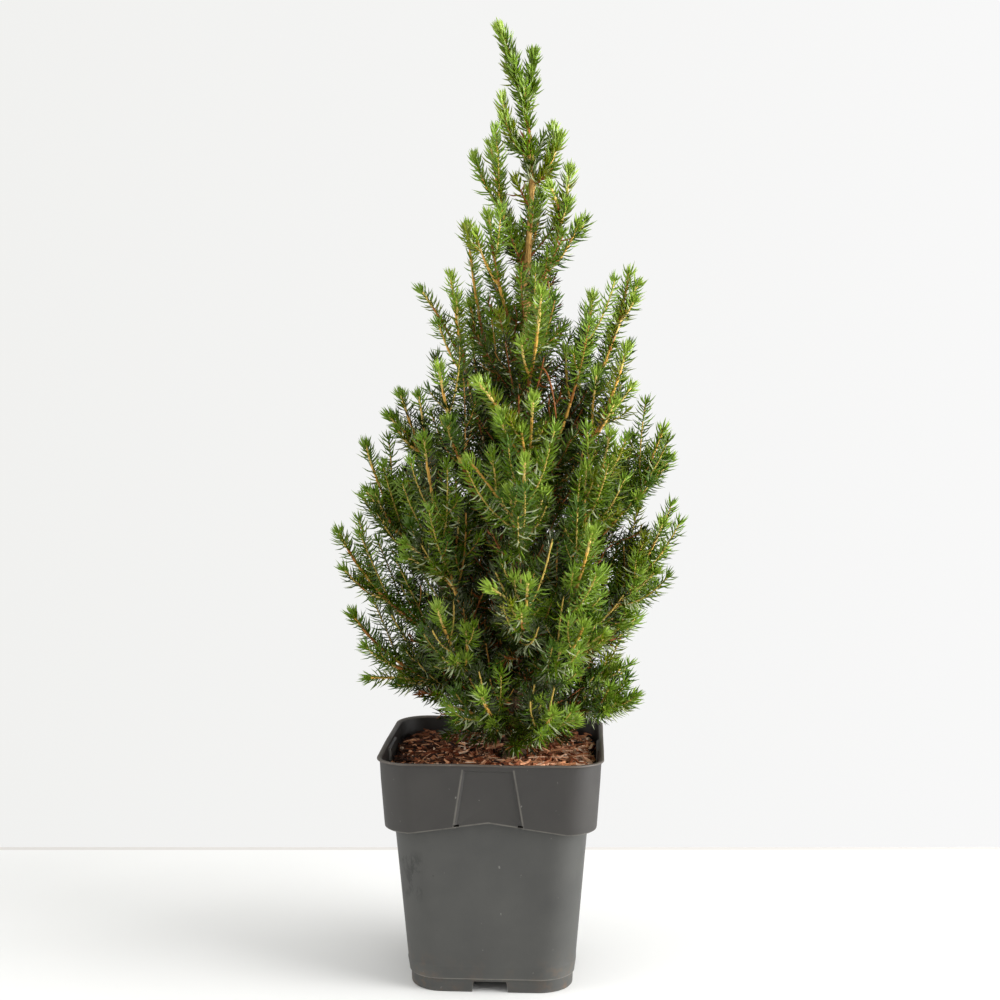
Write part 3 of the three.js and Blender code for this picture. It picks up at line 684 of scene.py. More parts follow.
# Young needles reach this far back from a shoot's tip, more or less.
YOUNG = dict(fresh=(10, 0.6, 1.3), new=(5.5, 0.4, 1.4), on_twig=6, twig_out=0.8, twig_share=0.3)
UNDERSIDE = dict(dip=-0.25, share=0.5, from_tip=10)  # some that point down show their pale side
STRAY = dict(share=0.18, from_tip=8)  # needles of any green
# Height against the share of the needles on inner twigs that have died and turned brown.
WITHERED = ((300, 360), (0.16, 0.05))
TONES = ("leaf", "warm", "deep", "cool", "pale", "pale", "fresh")
# The greens that a spray's own is drawn from, by where it stands.
SPRAY_TONES = dict(
    peak=("leaf", "fresh", "fresh", "warm", "leaf"),
    high=("leaf", "fresh", "leaf", "warm", "cool"),
    sunny=("leaf", "fresh", "warm", "leaf", "cool"),
    shaded=("deep", "deep", "cool", "shade", "shade", "leaf"),
    open=("leaf", "leaf", "warm", "deep", "cool", "cool"),
)
SPRAY_AT = 0.8  # a spray's place is taken this far along its stem
PEAK_FROM, HIGH_ALL, LOW_DOWN = 560, 490, 300  # heights that part the zones of those greens
HIGH_OUT, INSIDE, SUNNY_OUT, SHADED_OUT, LOW_OUT = 0.3, 0.46, 0.7, 0.74, 0.96  # how far out
DEEP_INSIDE = 0.8  # the share of the inside sprays that have the darkest green
# Left of the first, the stems' young tips are painted darker greens as shade, and right of the
# second, outer sprays are painted lighter as light.
SHADED_SIDE, SUNNY_SIDE = -34, 50
TOP_NEEDLES = dict(foot=536, bend=17, past=1, per_mm=2.6, lean=(30, 52))
WHORL = dict(height=553, spread=2.2, count=34, lean=(50, 88), curl=14, length=0.62)
TURNS = (90, 210, 330)  # the three corners of a needle
NEARLY_UP = UP + [0.11, 0.07, 0]  # no needle stands along it
FULL_FACES, PLAIN_FACES, MOST_FACES = 10, 6, 190000
NEEDLE_SEED = 5


class Needles:
    """Needles as arrays: where each stands, its two headings, its length and its colour group."""

    def __init__(self):
        self.rows = []

    def add(self, roots, out, forward, lengths, groups):
        self.rows.append((roots, out, forward, lengths, groups))

    def joined(self):
        return [np.concatenate(column) for column in zip(*self.rows)]


def tone_of(shoot, random):
    """A spray's own green: by how far out and how high it stands, and by chance. Sprays out on the
    right are painted lighter for the light there, and those towards the middle and low down darker
    for the shade there.
    """
    spot = shoot.curve.at(SPRAY_AT)
    out = float(outwardness(spot))
    if spot[2] > HIGH_UP and (out > HIGH_OUT or spot[2] > HIGH_ALL):
        zone = "peak" if spot[2] > PEAK_FROM else "high"
    elif shoot.rank == INNER_TWIG or out < INSIDE:
        return "shade" if random.random() < DEEP_INSIDE else "deep"
    elif spot[0] > SUNNY_SIDE and out > SUNNY_OUT:
        zone = "sunny"
    elif out < SHADED_OUT or (spot[2] < LOW_DOWN and out < LOW_OUT):
        zone = "shaded"
    else:
        zone = "open"
    return random.choice(SPRAY_TONES[zone])


def needle_rows(shoot, shares, lean, curl, random):
    """Where needles stand on a shoot, their two headings and their lengths."""
    count = len(shares)
    to_tip = (1 - shares) * shoot.length
    shares = shares * wood_end(shoot)
    points, ways, sides, acrosses = planar_frames(shoot.curve, shares)
    angles = np.radians(GOLDEN_TURN * np.arange(count) + random.random() * 360
                        + NEEDLE["turn_jitter"] * (random.random(count) - 0.5) * 2)
    aside = np.cos(angles)[:, None] * sides + np.sin(angles)[:, None] * acrosses
    headings = [ways * np.cos(angle)[:, None] + aside * np.sin(angle)[:, None]
                for angle in (np.radians(lean + curl), np.radians(lean - curl))]
    lengths = NEEDLE["length"] * np.interp(to_tip, *NEEDLE_LONG)
    lengths *= 1 + NEEDLE["jitter"] * random.normal(size=count).clip(-2, 2)
    if shoot.rank > SIDE_TWIG:
        lengths *= NEEDLE["inner_length"]
    return points, aside, headings, lengths, to_tip


def clear_of_plant(tips):
    """Whether needle tips stay out of the mulch, the pot and the trunk."""
    off = np.linalg.norm((tips - trunk_centre(tips[:, 2]))[:, :2], axis=1)
    outside = off > trunk_radius(tips[:, 2]) + TESTED["off_bark"]
    return (outside | (tips[:, 2] > TRUNK["tip"])) & over_mulch(tips, TESTED["off_mulch"])


def faces_outward(points, aside):
    """How far each needle turns away from the trunk, from 0 to 1."""
    outward = points - trunk_centre(points[:, 2])
    outward[:, 2] = 0
    outward = outward / np.maximum(np.linalg.norm(outward, axis=1, keepdims=True), 1e-6)
    return np.clip((aside * outward).sum(1), 0, 1)


def group_needles(shoot, to_tip, headings, random):
    """The green of each needle of a shoot, by its distance from the tip, its way and by chance."""
    count, end = len(to_tip), shoot.curve.end
    groups = np.full(count, tone_of(shoot, random), dtype="U8")
    if shoot.rank < SIDE_TWIG:
        # The young tips of stems on the left are painted darker greens, as shade.
        tips = ("leaf", "fresh") if end[0] < SHADED_SIDE else ("fresh", "new")
        for reach, tone in zip((YOUNG["fresh"], YOUNG["new"]), tips):
            groups[to_tip < reach[0] * random.uniform(*reach[1:])] = tone
    elif float(outwardness(end)) > YOUNG["twig_out"] and random.random() < YOUNG["twig_share"]:
        groups[to_tip < YOUNG["on_twig"]] = "fresh"
    low = (headings[1][:, 2] < UNDERSIDE["dip"]) & (random.random(count) < UNDERSIDE["share"])
    groups[low & (to_tip > UNDERSIDE["from_tip"])] = "pale"
    stray = (random.random(count) < STRAY["share"]) & (to_tip > STRAY["from_tip"])
    groups[stray] = random.choice(TONES, size=int(stray.sum()))
    if shoot.rank == INNER_TWIG:
        groups[random.random(count) < np.interp(end[2], *WITHERED)] = "brown"
    return groups


def dress(shoots):
    """Needles spiral round every shoot, spread wide along it and close up into its brush."""
    needles, random = Needles(), np.random.default_rng(NEEDLE_SEED)
    for shoot in shoots:
        end_height = shoot.curve.end[2]
        first = shoot.bare_to * (HIGH_BARE if end_height > HIGH_UP else 1)
        first = 0.0 if shoot.owner == "leader" else first
        count = max(2, int(shoot.length * (1 - first) * NEEDLES_PER_MM[shoot.rank]))
        shares = first + (1 - first) * (np.arange(count) + random.random(count)) / count
        to_tip = (1 - shares) * shoot.length
        lean = np.interp(to_tip, *NEEDLE_LEAN) + NEEDLE["lean_jitter"] * random.normal(size=count)
        lean *= np.interp(end_height, *CLOSE_AT)
        curl = NEEDLE["curl"] * np.ones(count)
        brush = BRUSH["counts"][shoot.rank]
        shares = np.append(shares, 1 - random.random(brush) * BRUSH["deep"] / shoot.length)
        lean = np.append(lean, random.uniform(*BRUSH["lean"], brush))
        curl = np.append(curl, np.minimum(lean[-brush:], BRUSH["curl"]) * BRUSH["curled"])
        points, aside, headings, lengths, to_tip = needle_rows(shoot, shares, lean, curl, random)
        groups = group_needles(shoot, to_tip, headings, random)
        keep = clear_of_plant(points + headings[0] * (lengths * TESTED["foot"])[:, None]
                              + headings[1] * (lengths * TESTED["tip"])[:, None])
        if shoot.rank < SIDE_TWIG and shoot.owner != "leader":
            facing = faces_outward(points, aside) ** PARTING["edge"]
            behind = to_tip > PARTING["from_tip"]
            keep &= random.random(len(shares)) > PARTING["bare"] * facing * behind
        needles.add(*(column[keep] for column in (points, *headings, lengths, groups)))
    dress_top(needles, random)
    return needles.joined()


def dress_top(needles, random):
    """Needles on the trunk's own top, and the tight whorl of short ones round its last knot."""
    tip = TRUNK["tip"]
    heights = TOP_NEEDLES["foot"], tip - TOP_NEEDLES["bend"], tip + TOP_NEEDLES["past"]
    top = Shoot(Curve(*map(trunk_centre, heights)), "trunk", 0.0)
    count = int(top.length * TOP_NEEDLES["per_mm"])
    shares = (np.arange(count) + random.random(count)) / count
    lean, curl = random.uniform(*TOP_NEEDLES["lean"], count), np.full(count, NEEDLE["curl"])
    knot = (WHORL["height"] - TOP_NEEDLES["foot"]) / top.length
    shares = np.append(shares, knot + (random.random(WHORL["count"]) - 0.5)
                       * WHORL["spread"] / top.length)
    lean = np.append(lean, random.uniform(*WHORL["lean"], WHORL["count"]))
    curl = np.append(curl, np.full(WHORL["count"], WHORL["curl"]))
    points, _, headings, lengths, _ = needle_rows(top, shares, lean, curl, random)
    lengths[count:] *= WHORL["length"]
    groups = np.array(["leaf"] * count + ["deep"] * WHORL["count"], dtype="U8")
    groups[: count // 2] = random.choice(TONES, size=count // 2)
    needles.add(points, *headings, lengths, groups)


def needle_corners(middle, side, across, radius):
    return [middle + radius * (math.cos(turn) * side + math.sin(turn) * across)
            for turn in map(math.radians, TURNS)]


def needle_mesh(roots, out, forward, lengths, full=True):
    """Closed three-sided needles with a bend. A full one has three corners at its root as well."""
    bend = roots + out * (lengths * NEEDLE["ring_at"])[:, None]
    tips = bend + forward * (lengths * (1 - NEEDLE["ring_at"]))[:, None]
    way = unit(out + forward)
    side = unit(np.cross(way, NEARLY_UP))
    across = np.cross(way, side)
    radius = NEEDLE["radius"] * np.interp(roots[:, 2:], *STOUT_AT)
    ring = needle_corners(bend, side, across, radius)
    if full:
        root = needle_corners(roots, side, across, radius * NEEDLE["root"])
        verts = np.stack([*root, *ring, tips], 1)
        faces = [(0, 1, 2)]
        for a, b in ((0, 1), (1, 2), (2, 0)):
            faces += [(a, a + 3, b + 3), (a, b + 3, b), (a + 3, 6, b + 3)]
    else:
        verts = np.stack([roots, *ring, tips], 1)
        faces = [(0, 2, 1), (0, 3, 2), (0, 1, 3), (4, 1, 2), (4, 2, 3), (4, 3, 1)]
    corners = verts.shape[1]
    every = np.arange(len(roots))[:, None, None] * corners + np.array(faces)[None]
    return verts.reshape(-1, 3), every.reshape(-1, 3)


# ---------- trunk and boughs ----------

BARK = dict(
    trunk_sides=44, trunk_step=1.3, bough_sides=18, bough_step=1.6, relief=0.42, below=9,
    bough_relief=0.7, bough_root=0.35,
)
# The bark's relief: how close its noise is across the stem and along it, and how much it rises.
RIDGES, SCALES = dict(close=0.9, drawn=0.28, much=0.75), dict(close=1.9, drawn=1.1, much=0.45)
APART = 40  # keeps the scales' noise apart from the ridges'
KNOT = dict(rise=1.1, spread=3.2, out=1.4)  # the swelling where a limb leaves the trunk
SMOOTH_TOP = dict(over=60, least=0.25)  # the relief fades towards the trunk's tip
FLAT = np.array([1, 1, 0])


def bark_relief(points, scale=1.0):
    """Fine ridges and scales of bark at each point, in millimetres."""
    rough = np.empty(len(points))
    for k, (x, y, z) in enumerate(points):
        ridges = Vector((x * RIDGES["close"], y * RIDGES["close"], z * RIDGES["drawn"]))
        scales = Vector((x * SCALES["close"], y * SCALES["close"], z * SCALES["drawn"] + APART))
        rough[k] = noise.noise(ridges) * RIDGES["much"] + noise.noise(scales) * SCALES["much"]
    return rough * BARK["relief"] * scale


def trunk_mesh(limbs):
    """The bare trunk with its root flare, knots and bark, from below the mulch to its tip."""
    heights = np.arange(MULCH_TOP - BARK["below"], TRUNK["tip"] + 0.1, BARK["trunk_step"])
    heights[-1] = TRUNK["tip"]
    angles = evenly_round(BARK["trunk_sides"])
    out = np.stack([np.cos(angles), np.sin(angles), np.zeros_like(angles)], -1)
    above = np.maximum(heights, MULCH_TOP)
    flare = np.exp(-(above - MULCH_TOP) / TRUNK["flare_height"])
    ridge = 1 + TRUNK["ridge"] * flare[:, None] * np.cos(TRUNK["ridges"] * angles)[None]
    radii = trunk_radius(above)[:, None] * ridge
    rings = trunk_centre(above)[:, None] + out[None] * radii[..., None]
    rings[..., 2] = heights[:, None]
    flat = rings.reshape(-1, 3)
    for limb in limbs:
        curve, thick = limb["curve"], float(trunk_radius(limb["foot"]))
        leaves = curve.at(0.0) + curve.heading(0.0) * thick * KNOT["out"]
        near = np.exp(-((flat - leaves) ** 2).sum(1) / (2 * KNOT["spread"] ** 2))
        away = unit(flat - trunk_centre(flat[:, 2]))
        flat[:, :2] += (away * (KNOT["rise"] * near)[:, None])[:, :2]
    fade = np.clip((TRUNK["tip"] - flat[:, 2]) / SMOOTH_TOP["over"], SMOOTH_TOP["least"], 1)
    away = unit(flat - trunk_centre(flat[:, 2]) * FLAT - UP * flat)
    flat += away * FLAT * (bark_relief(flat) * fade)[:, None]
    return closed_loft(flat.reshape(rings.shape))


def bough_mesh(limb):
    """A bough from inside the trunk to where its mass of foliage begins."""
    curve, far = limb["curve"], LIMB["bough_share"]
    near = BARK["bough_root"] * float(trunk_radius(limb["foot"])) / curve.length
    count = int((far - near) * curve.length / BARK["bough_step"]) + 2
    shares = np.linspace(near, far, count)
    points, _, sides, acrosses = planar_frames(curve, shares)
    turns = turns_about(sides, acrosses, evenly_round(BARK["bough_sides"]))
    radii = lerp(LIMB["foot_radius"], LIMB["tip_radius"], shares / far)
    rings = points[:, None] + turns * radii[:, None, None]
    rough = bark_relief(rings.reshape(-1, 3), BARK["bough_relief"]).reshape(rings.shape[:2])
    return closed_loft(rings + turns * rough[..., None])


# ---------- pot ----------

POT = dict(
    height=158, rim_half=75, lip=1.4, lip_depth=1.5, collar_top_half=73.5, collar_foot_half=70.2,
    collar_foot=110.6, arch_rise=7.6, arch_half=52, shoulder_half=64.2, foot_half=54.4, band=9,
    band_step=0.5, bulge=18, corner_radius=23, wall=1.6, floor=9.6,
)
PANEL = dict(top_half=16.3, foot_half=23.3, below_rim=4, depth=1.5, chamfer=1.8)
NOTCH = dict(height=7.4, top_half=10.8, foot_half=12.2, depth=25)
SLOT = dict(near=19.1, far=22.7, foot=115.8, top=117.2, between=(64, 72))
POT_COLUMNS = dict(face=26, corner=12)
LIP_WAVE = dict(rise=0.45, out=0.35, scale=0.028, foot=150, fade=7, apart=(9, 4, 2))
# The wall's moulded edges as (inset, rise), with how much tighter the foot's corners are.
FOOT_EDGE = ((1.2, 1.2, 0), (0.5, 0.4, 0.15), (0.1, 0, 0.6), (0, 0, 1.2))
BAND_EDGE = ((0.35, 0.12), (0.05, 0.35), (0.05, 0.9))
COLLAR_EDGE = ((1.2, 0), (0.35, 0.12), (0.05, 0.5), (0, 1.1))
# Heights of the rings between the edges, and how far below and above its foot the arch goes.
BODY_HEIGHTS, ARCH_FROM, ARCH_TO = (28, 40, 52, 64, 76, 88, 96), 96, 136
COLLAR_HEIGHTS, INNER_COLLAR, INNER_BODY = (144, 151), (152, 146, 140, 130), (80, 40)
SHARP_ANGLE = 32  # degrees


def square_ring(half, radius, height_at):
    """A square with round corners. `height_at` gives the height of each of its points."""
    ring = []
    flat = half - radius
    for face in range(4):
        angle = face * math.pi / 2
        out, along = (math.cos(angle), math.sin(angle)), (-math.sin(angle), math.cos(angle))
        for k in range(POT_COLUMNS["face"]):
            s = lerp(-flat, flat, k / POT_COLUMNS["face"])
            ring.append((out[0] * half + along[0] * s, out[1] * half + along[1] * s))
        for k in range(POT_COLUMNS["corner"]):
            turn = angle + math.pi / 2 * k / POT_COLUMNS["corner"]
            cx = (out[0] + along[0]) * flat
            cy = (out[1] + along[1]) * flat
            ring.append((cx + radius * math.cos(turn), cy + radius * math.sin(turn)))
    ring = np.array(ring)
    return np.column_stack([ring, height_at(ring)])


def arch_at(points, strength=1.0):
    along = np.minimum(np.abs(points[:, 0]), np.abs(points[:, 1]))
    return strength * POT["arch_rise"] * np.maximum(0, 1 - along / POT["arch_half"])


def level_ring(half, radius, z):
    return square_ring(half, radius, lambda points: np.full(len(points), float(z)))


def arched_ring(half_at, radius, z, strength=1.0, inset=0.0):
    """A ring along the rise of the collar's lower edge, which dies out as `strength` falls."""
    half = half_at(z) - inset
    ring = square_ring(half, radius, lambda points: z + arch_at(points, strength))
    wide = np.abs(ring[:, :2]).max(1)
    scale = 1 + (half_at(ring[:, 2]) - inset - half) / wide
    ring[:, :2] *= scale[:, None]
    return ring


def collar_half(z):
    share = (z - POT["collar_foot"]) / (POT["height"] - POT["collar_foot"])
    return lerp(POT["collar_foot_half"], POT["collar_top_half"], share)


def body_half(z):
    return lerp(POT["foot_half"] + POT["band_step"], POT["shoulder_half"], z / POT["collar_foot"])


def pot_rings():
    """The pot's wall from the middle of its underside, up outside, over the lip and down inside."""
    r, wall, foot, band, bulge = (POT[k] for k in ("corner_radius", "wall", "collar_foot", "band",
                                                   "bulge"))
    inner, step, half = r - wall, POT["band_step"] / 2, POT["foot_half"]
    top, rim, lip_foot = POT["height"], POT["rim_half"], POT["height"] - POT["lip_depth"]
    edge = FOOT_EDGE[-1][-1]
    rows = [(half - inset, r - rounder, z) for inset, rounder, z in FOOT_EDGE]
    rows += [(half + step * share, r, lerp(edge, band, share)) for share in (0.5, 0.97)]
    rows += [(body_half(band) - inset, r, band + rise) for inset, rise in BAND_EDGE]
    rows += [(body_half(bulge) + step, r, bulge - 0.6),
             (body_half(bulge) + step * 0.9, r, bulge + 0.3),
             (body_half(bulge + 1.4), r, bulge + 1.4)]
    rows += [(body_half(z), r, z) for z in BODY_HEIGHTS]
    rings = [level_ring(*row) for row in rows]
    rings += [arched_ring(body_half, r, lerp(ARCH_FROM, foot, share), share)
              for share in (0.4, 0.8, 1)]
    rings += [arched_ring(collar_half, r, foot + rise, inset=inset) for inset, rise in COLLAR_EDGE]
    edge = foot + COLLAR_EDGE[-1][-1]
    rings += [arched_ring(collar_half, r, lerp(edge, ARCH_TO, share), 1 - share)
              for share in (0.25, 0.5, 0.75, 1)]
    rings += [level_ring(collar_half(z), r, z) for z in (*COLLAR_HEIGHTS, lip_foot - 0.5)]
    lip = [(collar_half(lip_foot) + 0.1, lip_foot - 0.05), (rim - 0.3, lip_foot + 0.12),
           (rim, lip_foot + 0.45), (rim, top - 0.5), (rim - 0.15, top - 0.15), (rim - 0.5, top),
           (rim - 1.7, top), (rim - 2.0, top - 0.15), (collar_half(top) - wall, top - 1.2)]
    rings += [level_ring(wide, r - max(0, rim - wide) * 0.6, z) for wide, z in lip]
    rings += [level_ring(collar_half(z) - wall, inner, z) for z in INNER_COLLAR]
    rings += [arched_ring(half_at, inner, foot + wall, inset=wall)
              for half_at in (collar_half, body_half)]
    return rings + [level_ring(body_half(z) - wall, inner, z) for z in (*INNER_BODY, POT["floor"])]


def wave_lip(ring):
    """A thin moulded lip is never quite level."""
    amount = np.clip((ring[:, 2] - LIP_WAVE["foot"]) / LIP_WAVE["fade"], 0, 1)
    for k in np.flatnonzero(amount > 0):
        spot = Vector((ring[k, 0], ring[k, 1], 7)) * LIP_WAVE["scale"]
        ring[k, 2] += amount[k] * LIP_WAVE["rise"] * noise.noise(spot)
        out = LIP_WAVE["out"] * amount[k] * noise.noise(spot + Vector(LIP_WAVE["apart"]))
        ring[k, :2] *= 1 + (out - LIP_WAVE["out"] * 0.5) / POT["rim_half"]
    return ring


def trapezoid(foot_half, top_half, foot, top, behind):
    """A trapezoid across the front face. `behind` gives how far back it stands at a height."""
    corners = ((-foot_half, foot), (foot_half, foot), (top_half, top), (-top_half, top))
    return [(x, behind(z), z) for x, z in corners]


def collar_trapezoid(grow, depth, foot, top):
    """A trapezoid of the panel's shape at a depth behind the collar."""
    return trapezoid(PANEL["foot_half"] + grow, PANEL["top_half"] + grow, foot, top,
                     lambda z: depth - collar_half(z))


def four_faces(rings):
    """The same closed loft on each of the pot's four faces, as one mesh."""
    pile = Pile()
    for face in range(4):
        turn = turn_matrix(face * math.pi / 2, 0, 1)
        pile.add(*closed_loft(np.asarray(rings, float) @ turn))
    return pile.joined()


def panel_cutters():
    """From the panel's flat back out over its chamfer to well in front of the collar."""
    top, foot = POT["height"] - PANEL["below_rim"], POT["collar_foot"] - POT["wall"]
    steps = ((-1, PANEL["depth"]), (-0.8, PANEL["depth"] - 0.12), (-0.2, 0.12))
    grown = [(share * PANEL["chamfer"], depth) for share, depth in steps]
    grown += [(0.3, -0.1), (0.3, -POT["lip"] - 1)]
    return four_faces([collar_trapezoid(grow, depth, foot, top + grow) for grow, depth in grown])


def panel_backs():
    top, wall = POT["height"] - PANEL["below_rim"], POT["wall"]
    foot = POT["collar_foot"] + POT["arch_rise"] + 1
    return four_faces([collar_trapezoid(0, PANEL["depth"] + wall, foot, top),
                       collar_trapezoid(wall, wall / 2, foot, top + wall)])


def notch_cutters():
    return four_faces([trapezoid(NOTCH["foot_half"], NOTCH["top_half"], -1, NOTCH["height"],
                                 lambda z: -POT["foot_half"] + depth)
                       for depth in (NOTCH["depth"], -POT["wall"])])


def slot_cutters(side):
    near, far = sorted((side * SLOT["near"], side * SLOT["far"]))
    corners = ((near, SLOT["foot"]), (far, SLOT["foot"]), (far, SLOT["top"]), (near, SLOT["top"]))
    return four_faces([[(x, -y, z) for x, z in corners] for y in SLOT["between"]])


def combine(piece, operation, name, verts, faces):
    """Joins another closed mesh to the piece, or takes it away, for good."""
    tool = new_object(name, verts, faces, piece.data.materials[0])
    with_tool = piece.modifiers.new(name, "BOOLEAN")
    with_tool.operation, with_tool.solver, with_tool.object = operation, "EXACT", tool
    graph = bpy.context.evaluated_depsgraph_get()
    made = bpy.data.meshes.new_from_object(piece.evaluated_get(graph))
    piece.modifiers.clear()
    piece.data = made
    bpy.data.objects.remove(tool)


def make_pot(look):
    rings = [wave_lip(ring) for ring in pot_rings()]
    piece = new_object("nursery_pot", *closed_loft(rings), look)
    combine(piece, "UNION", "backs", *panel_backs())
    for name, cutters in (("panels", panel_cutters()), ("notches", notch_cutters()),
                          ("slots_left", slot_cutters(-1)), ("slots_right", slot_cutters(1))):
        combine(piece, "DIFFERENCE", name, *cutters)
    piece.data.shade_smooth()
    piece.data.set_sharp_from_angle(angle=math.radians(SHARP_ANGLE))
    part_piece(piece, "pot_plastic", "pot")


# ---------- mulch ----------

BED = dict(
    top=145.2, rings=26, gap=0.3, swell=1.4, swell_scale=0.035, relief=1.6, rough=0.6,
    rough_scale=0.16, edge=0.2,
)
CHIPS = dict(count=2300, seed=17, length=(6, 22), width=(1.0, 3.6), thick=(0.5, 1.7), lift=3.8)
FIBRES = dict(count=1100, seed=29, length=(8, 26), width=(0.5, 1.1), thick=(0.4, 0.8), lift=4.2)
# A sliver's cross sections: where along it, and how wide.
SLIVER = dict(
    stations=(-0.5, -0.28, 0.05, 0.3, 0.5), widths=(0.35, 0.9, 1.0, 0.8, 0.3), uneven=(0.7, 1.25),
    sag=0.7, sway=0.08, top=(0.7, 0.75), thin=(0.6, 1.1),
)
STREWN = dict(off_wall=1.2, off_trunk=0.5, length=(0.6, 1), lean=0.16, roll=0.3, power=1.5, sink=0.2)
# Bigger chips lie at the front right.
CHUNKY = dict(middle=0.8, more=0.3, over=90, least=-0.6, most=1.1)
# Chips are dealt lighter colours towards the front right and darker towards the back left, with
# chance mixed in: painted light and shade.
PAINTED_CHIP_LIGHT = dict(middle=0.5, over=190, front=0.6, chance=0.38, light=0.72, red=0.35)


def bed_height(x, y):
    low = noise.noise(Vector((x, y, 0)) * BED["swell_scale"]) * BED["swell"]
    rough = noise.noise(Vector((x, y, 5)) * BED["rough_scale"]) * BED["relief"] * BED["rough"]
    return BED["top"] + low + rough


def make_bed(look):
    """The rough soil under the chips, closed down to the pot's floor."""
    inner, inset = POT["corner_radius"] - POT["wall"] - BED["gap"], POT["wall"] + BED["gap"]
    ledge = POT["collar_foot"] + POT["wall"] + 2 * BED["gap"]
    rings = [level_ring(body_half(POT["floor"]) - inset, inner, POT["floor"] + BED["gap"])]
    rings += [arched_ring(half_at, inner, ledge, inset=inset)
              for half_at in (body_half, collar_half)]
    edge_half = collar_half(BED["top"]) - inset - PANEL["depth"] * BED["edge"]
    edge = level_ring(edge_half, inner, BED["top"])
    for k in range(BED["rings"]):
        ring = edge.copy()
        ring[:, :2] *= 1 - k / BED["rings"]
        ring[:, 2] = [bed_height(x, y) for x, y in ring[:, :2]]
        rings.append(ring)
    return new_object("mulch_bed", *closed_loft(rings), look)


def sliver(random, length, width, thick):
    """A torn piece of bark: a closed strip with uneven ends and a slight bend."""
    wide = width * np.array(SLIVER["widths"]) * random.uniform(*SLIVER["uneven"], 5)
    sag = random.normal() * thick * SLIVER["sag"]
    left, right = SLIVER["top"]
    rings = []
    for station, half in zip(SLIVER["stations"], wide / 2):
        x = station * length
        y = random.normal() * width * SLIVER["sway"]
        z = sag * (1 - 4 * station**2)
        rings.append([(x, y - half, z), (x, y + half, z), (x, y + half * left, z + thick),
                      (x, y - half * right, z + thick * random.uniform(*SLIVER["thin"]))])
    return closed_loft(rings)


def strew(measures):
    """Strews slivers over the bed, inside the pot's wall and clear of the trunk."""
    random, piles = np.random.default_rng(measures["seed"]), {}
    half = collar_half(BED["top"]) - POT["wall"] - STREWN["off_wall"]
    radius = POT["corner_radius"] - POT["wall"]
    foot, room = trunk_centre(MULCH_TOP)[:2], trunk_radius(MULCH_TOP) + STREWN["off_trunk"]
    for _ in range(measures["count"]):
        x, y = random.uniform(-half, half, 2)
        length = random.uniform(*measures["length"]) * random.uniform(*STREWN["length"])
        yaw = random.uniform(0, math.pi)
        lean, roll = random.normal() * STREWN["lean"], random.normal() * STREWN["roll"]
        to_front = np.clip((x - y) / CHUNKY["over"], CHUNKY["least"], 1)
        chunky = CHUNKY["middle"] + CHUNKY["more"] * to_front
        verts, faces = sliver(random, length * min(chunky, CHUNKY["most"]),
                              random.uniform(*measures["width"]) * chunky,
                              random.uniform(*measures["thick"]) * chunky)
        for angle, low, high in ((roll, 1, 2), (lean, 0, 2), (yaw, 0, 1)):
            verts = verts @ turn_matrix(angle, low, high)
        lift = random.random() ** STREWN["power"] * measures["lift"]
        verts = verts + [x, y, bed_height(x, y) + lift - STREWN["sink"]]
        wide = np.abs(verts[:, :2])
        round_corner = np.linalg.norm(np.maximum(wide - (half - radius), 0), axis=1)
        off_trunk = np.linalg.norm(verts[:, :2] - foot, axis=1).min()
        if round_corner.max() > radius or wide.max() > half or off_trunk < room:
            continue
        # The chip's colour goes lighter towards the front right: painted light and shade.
        light = PAINTED_CHIP_LIGHT["middle"] + (x - y * PAINTED_CHIP_LIGHT["front"]) / PAINTED_CHIP_LIGHT["over"]
        light += random.normal() * PAINTED_CHIP_LIGHT["chance"]
        kind = "light" if light > PAINTED_CHIP_LIGHT["light"] else "red" if light > PAINTED_CHIP_LIGHT["red"] else "dark"
        piles.setdefault(kind, Pile()).add(verts, faces)
    return piles


# ---------- shared effects ----------

def srgb(red, green, blue):
    """A colour given in display values of 0 to 255, as the shader's linear colour."""
    def linear(value):
        value /= 255
        return value / 12.92 if value <= 0.04045 else ((value + 0.055) / 1.055) ** 2.4
    return linear(red), linear(green), linear(blue), 1.0


def effect(name, inputs, *outputs):
    """A new node group. Inputs are given by name with their values, and outputs by name."""
    group = bpy.data.node_groups.new(name, "ShaderNodeTree")
    for label, value in inputs.items():
        kind = "NodeSocketVector" if isinstance(value, tuple) else "NodeSocketFloat"
        socket = group.interface.new_socket(label, in_out="INPUT", socket_type=kind)
        socket.default_value = value
    for label in outputs:
        group.interface.new_socket(label, in_out="OUTPUT", socket_type="NodeSocketFloat")
    w = Wiring(group)
    given = w.node("NodeGroupInput").outputs
    return group, w, given, w.node("NodeGroupOutput").inputs


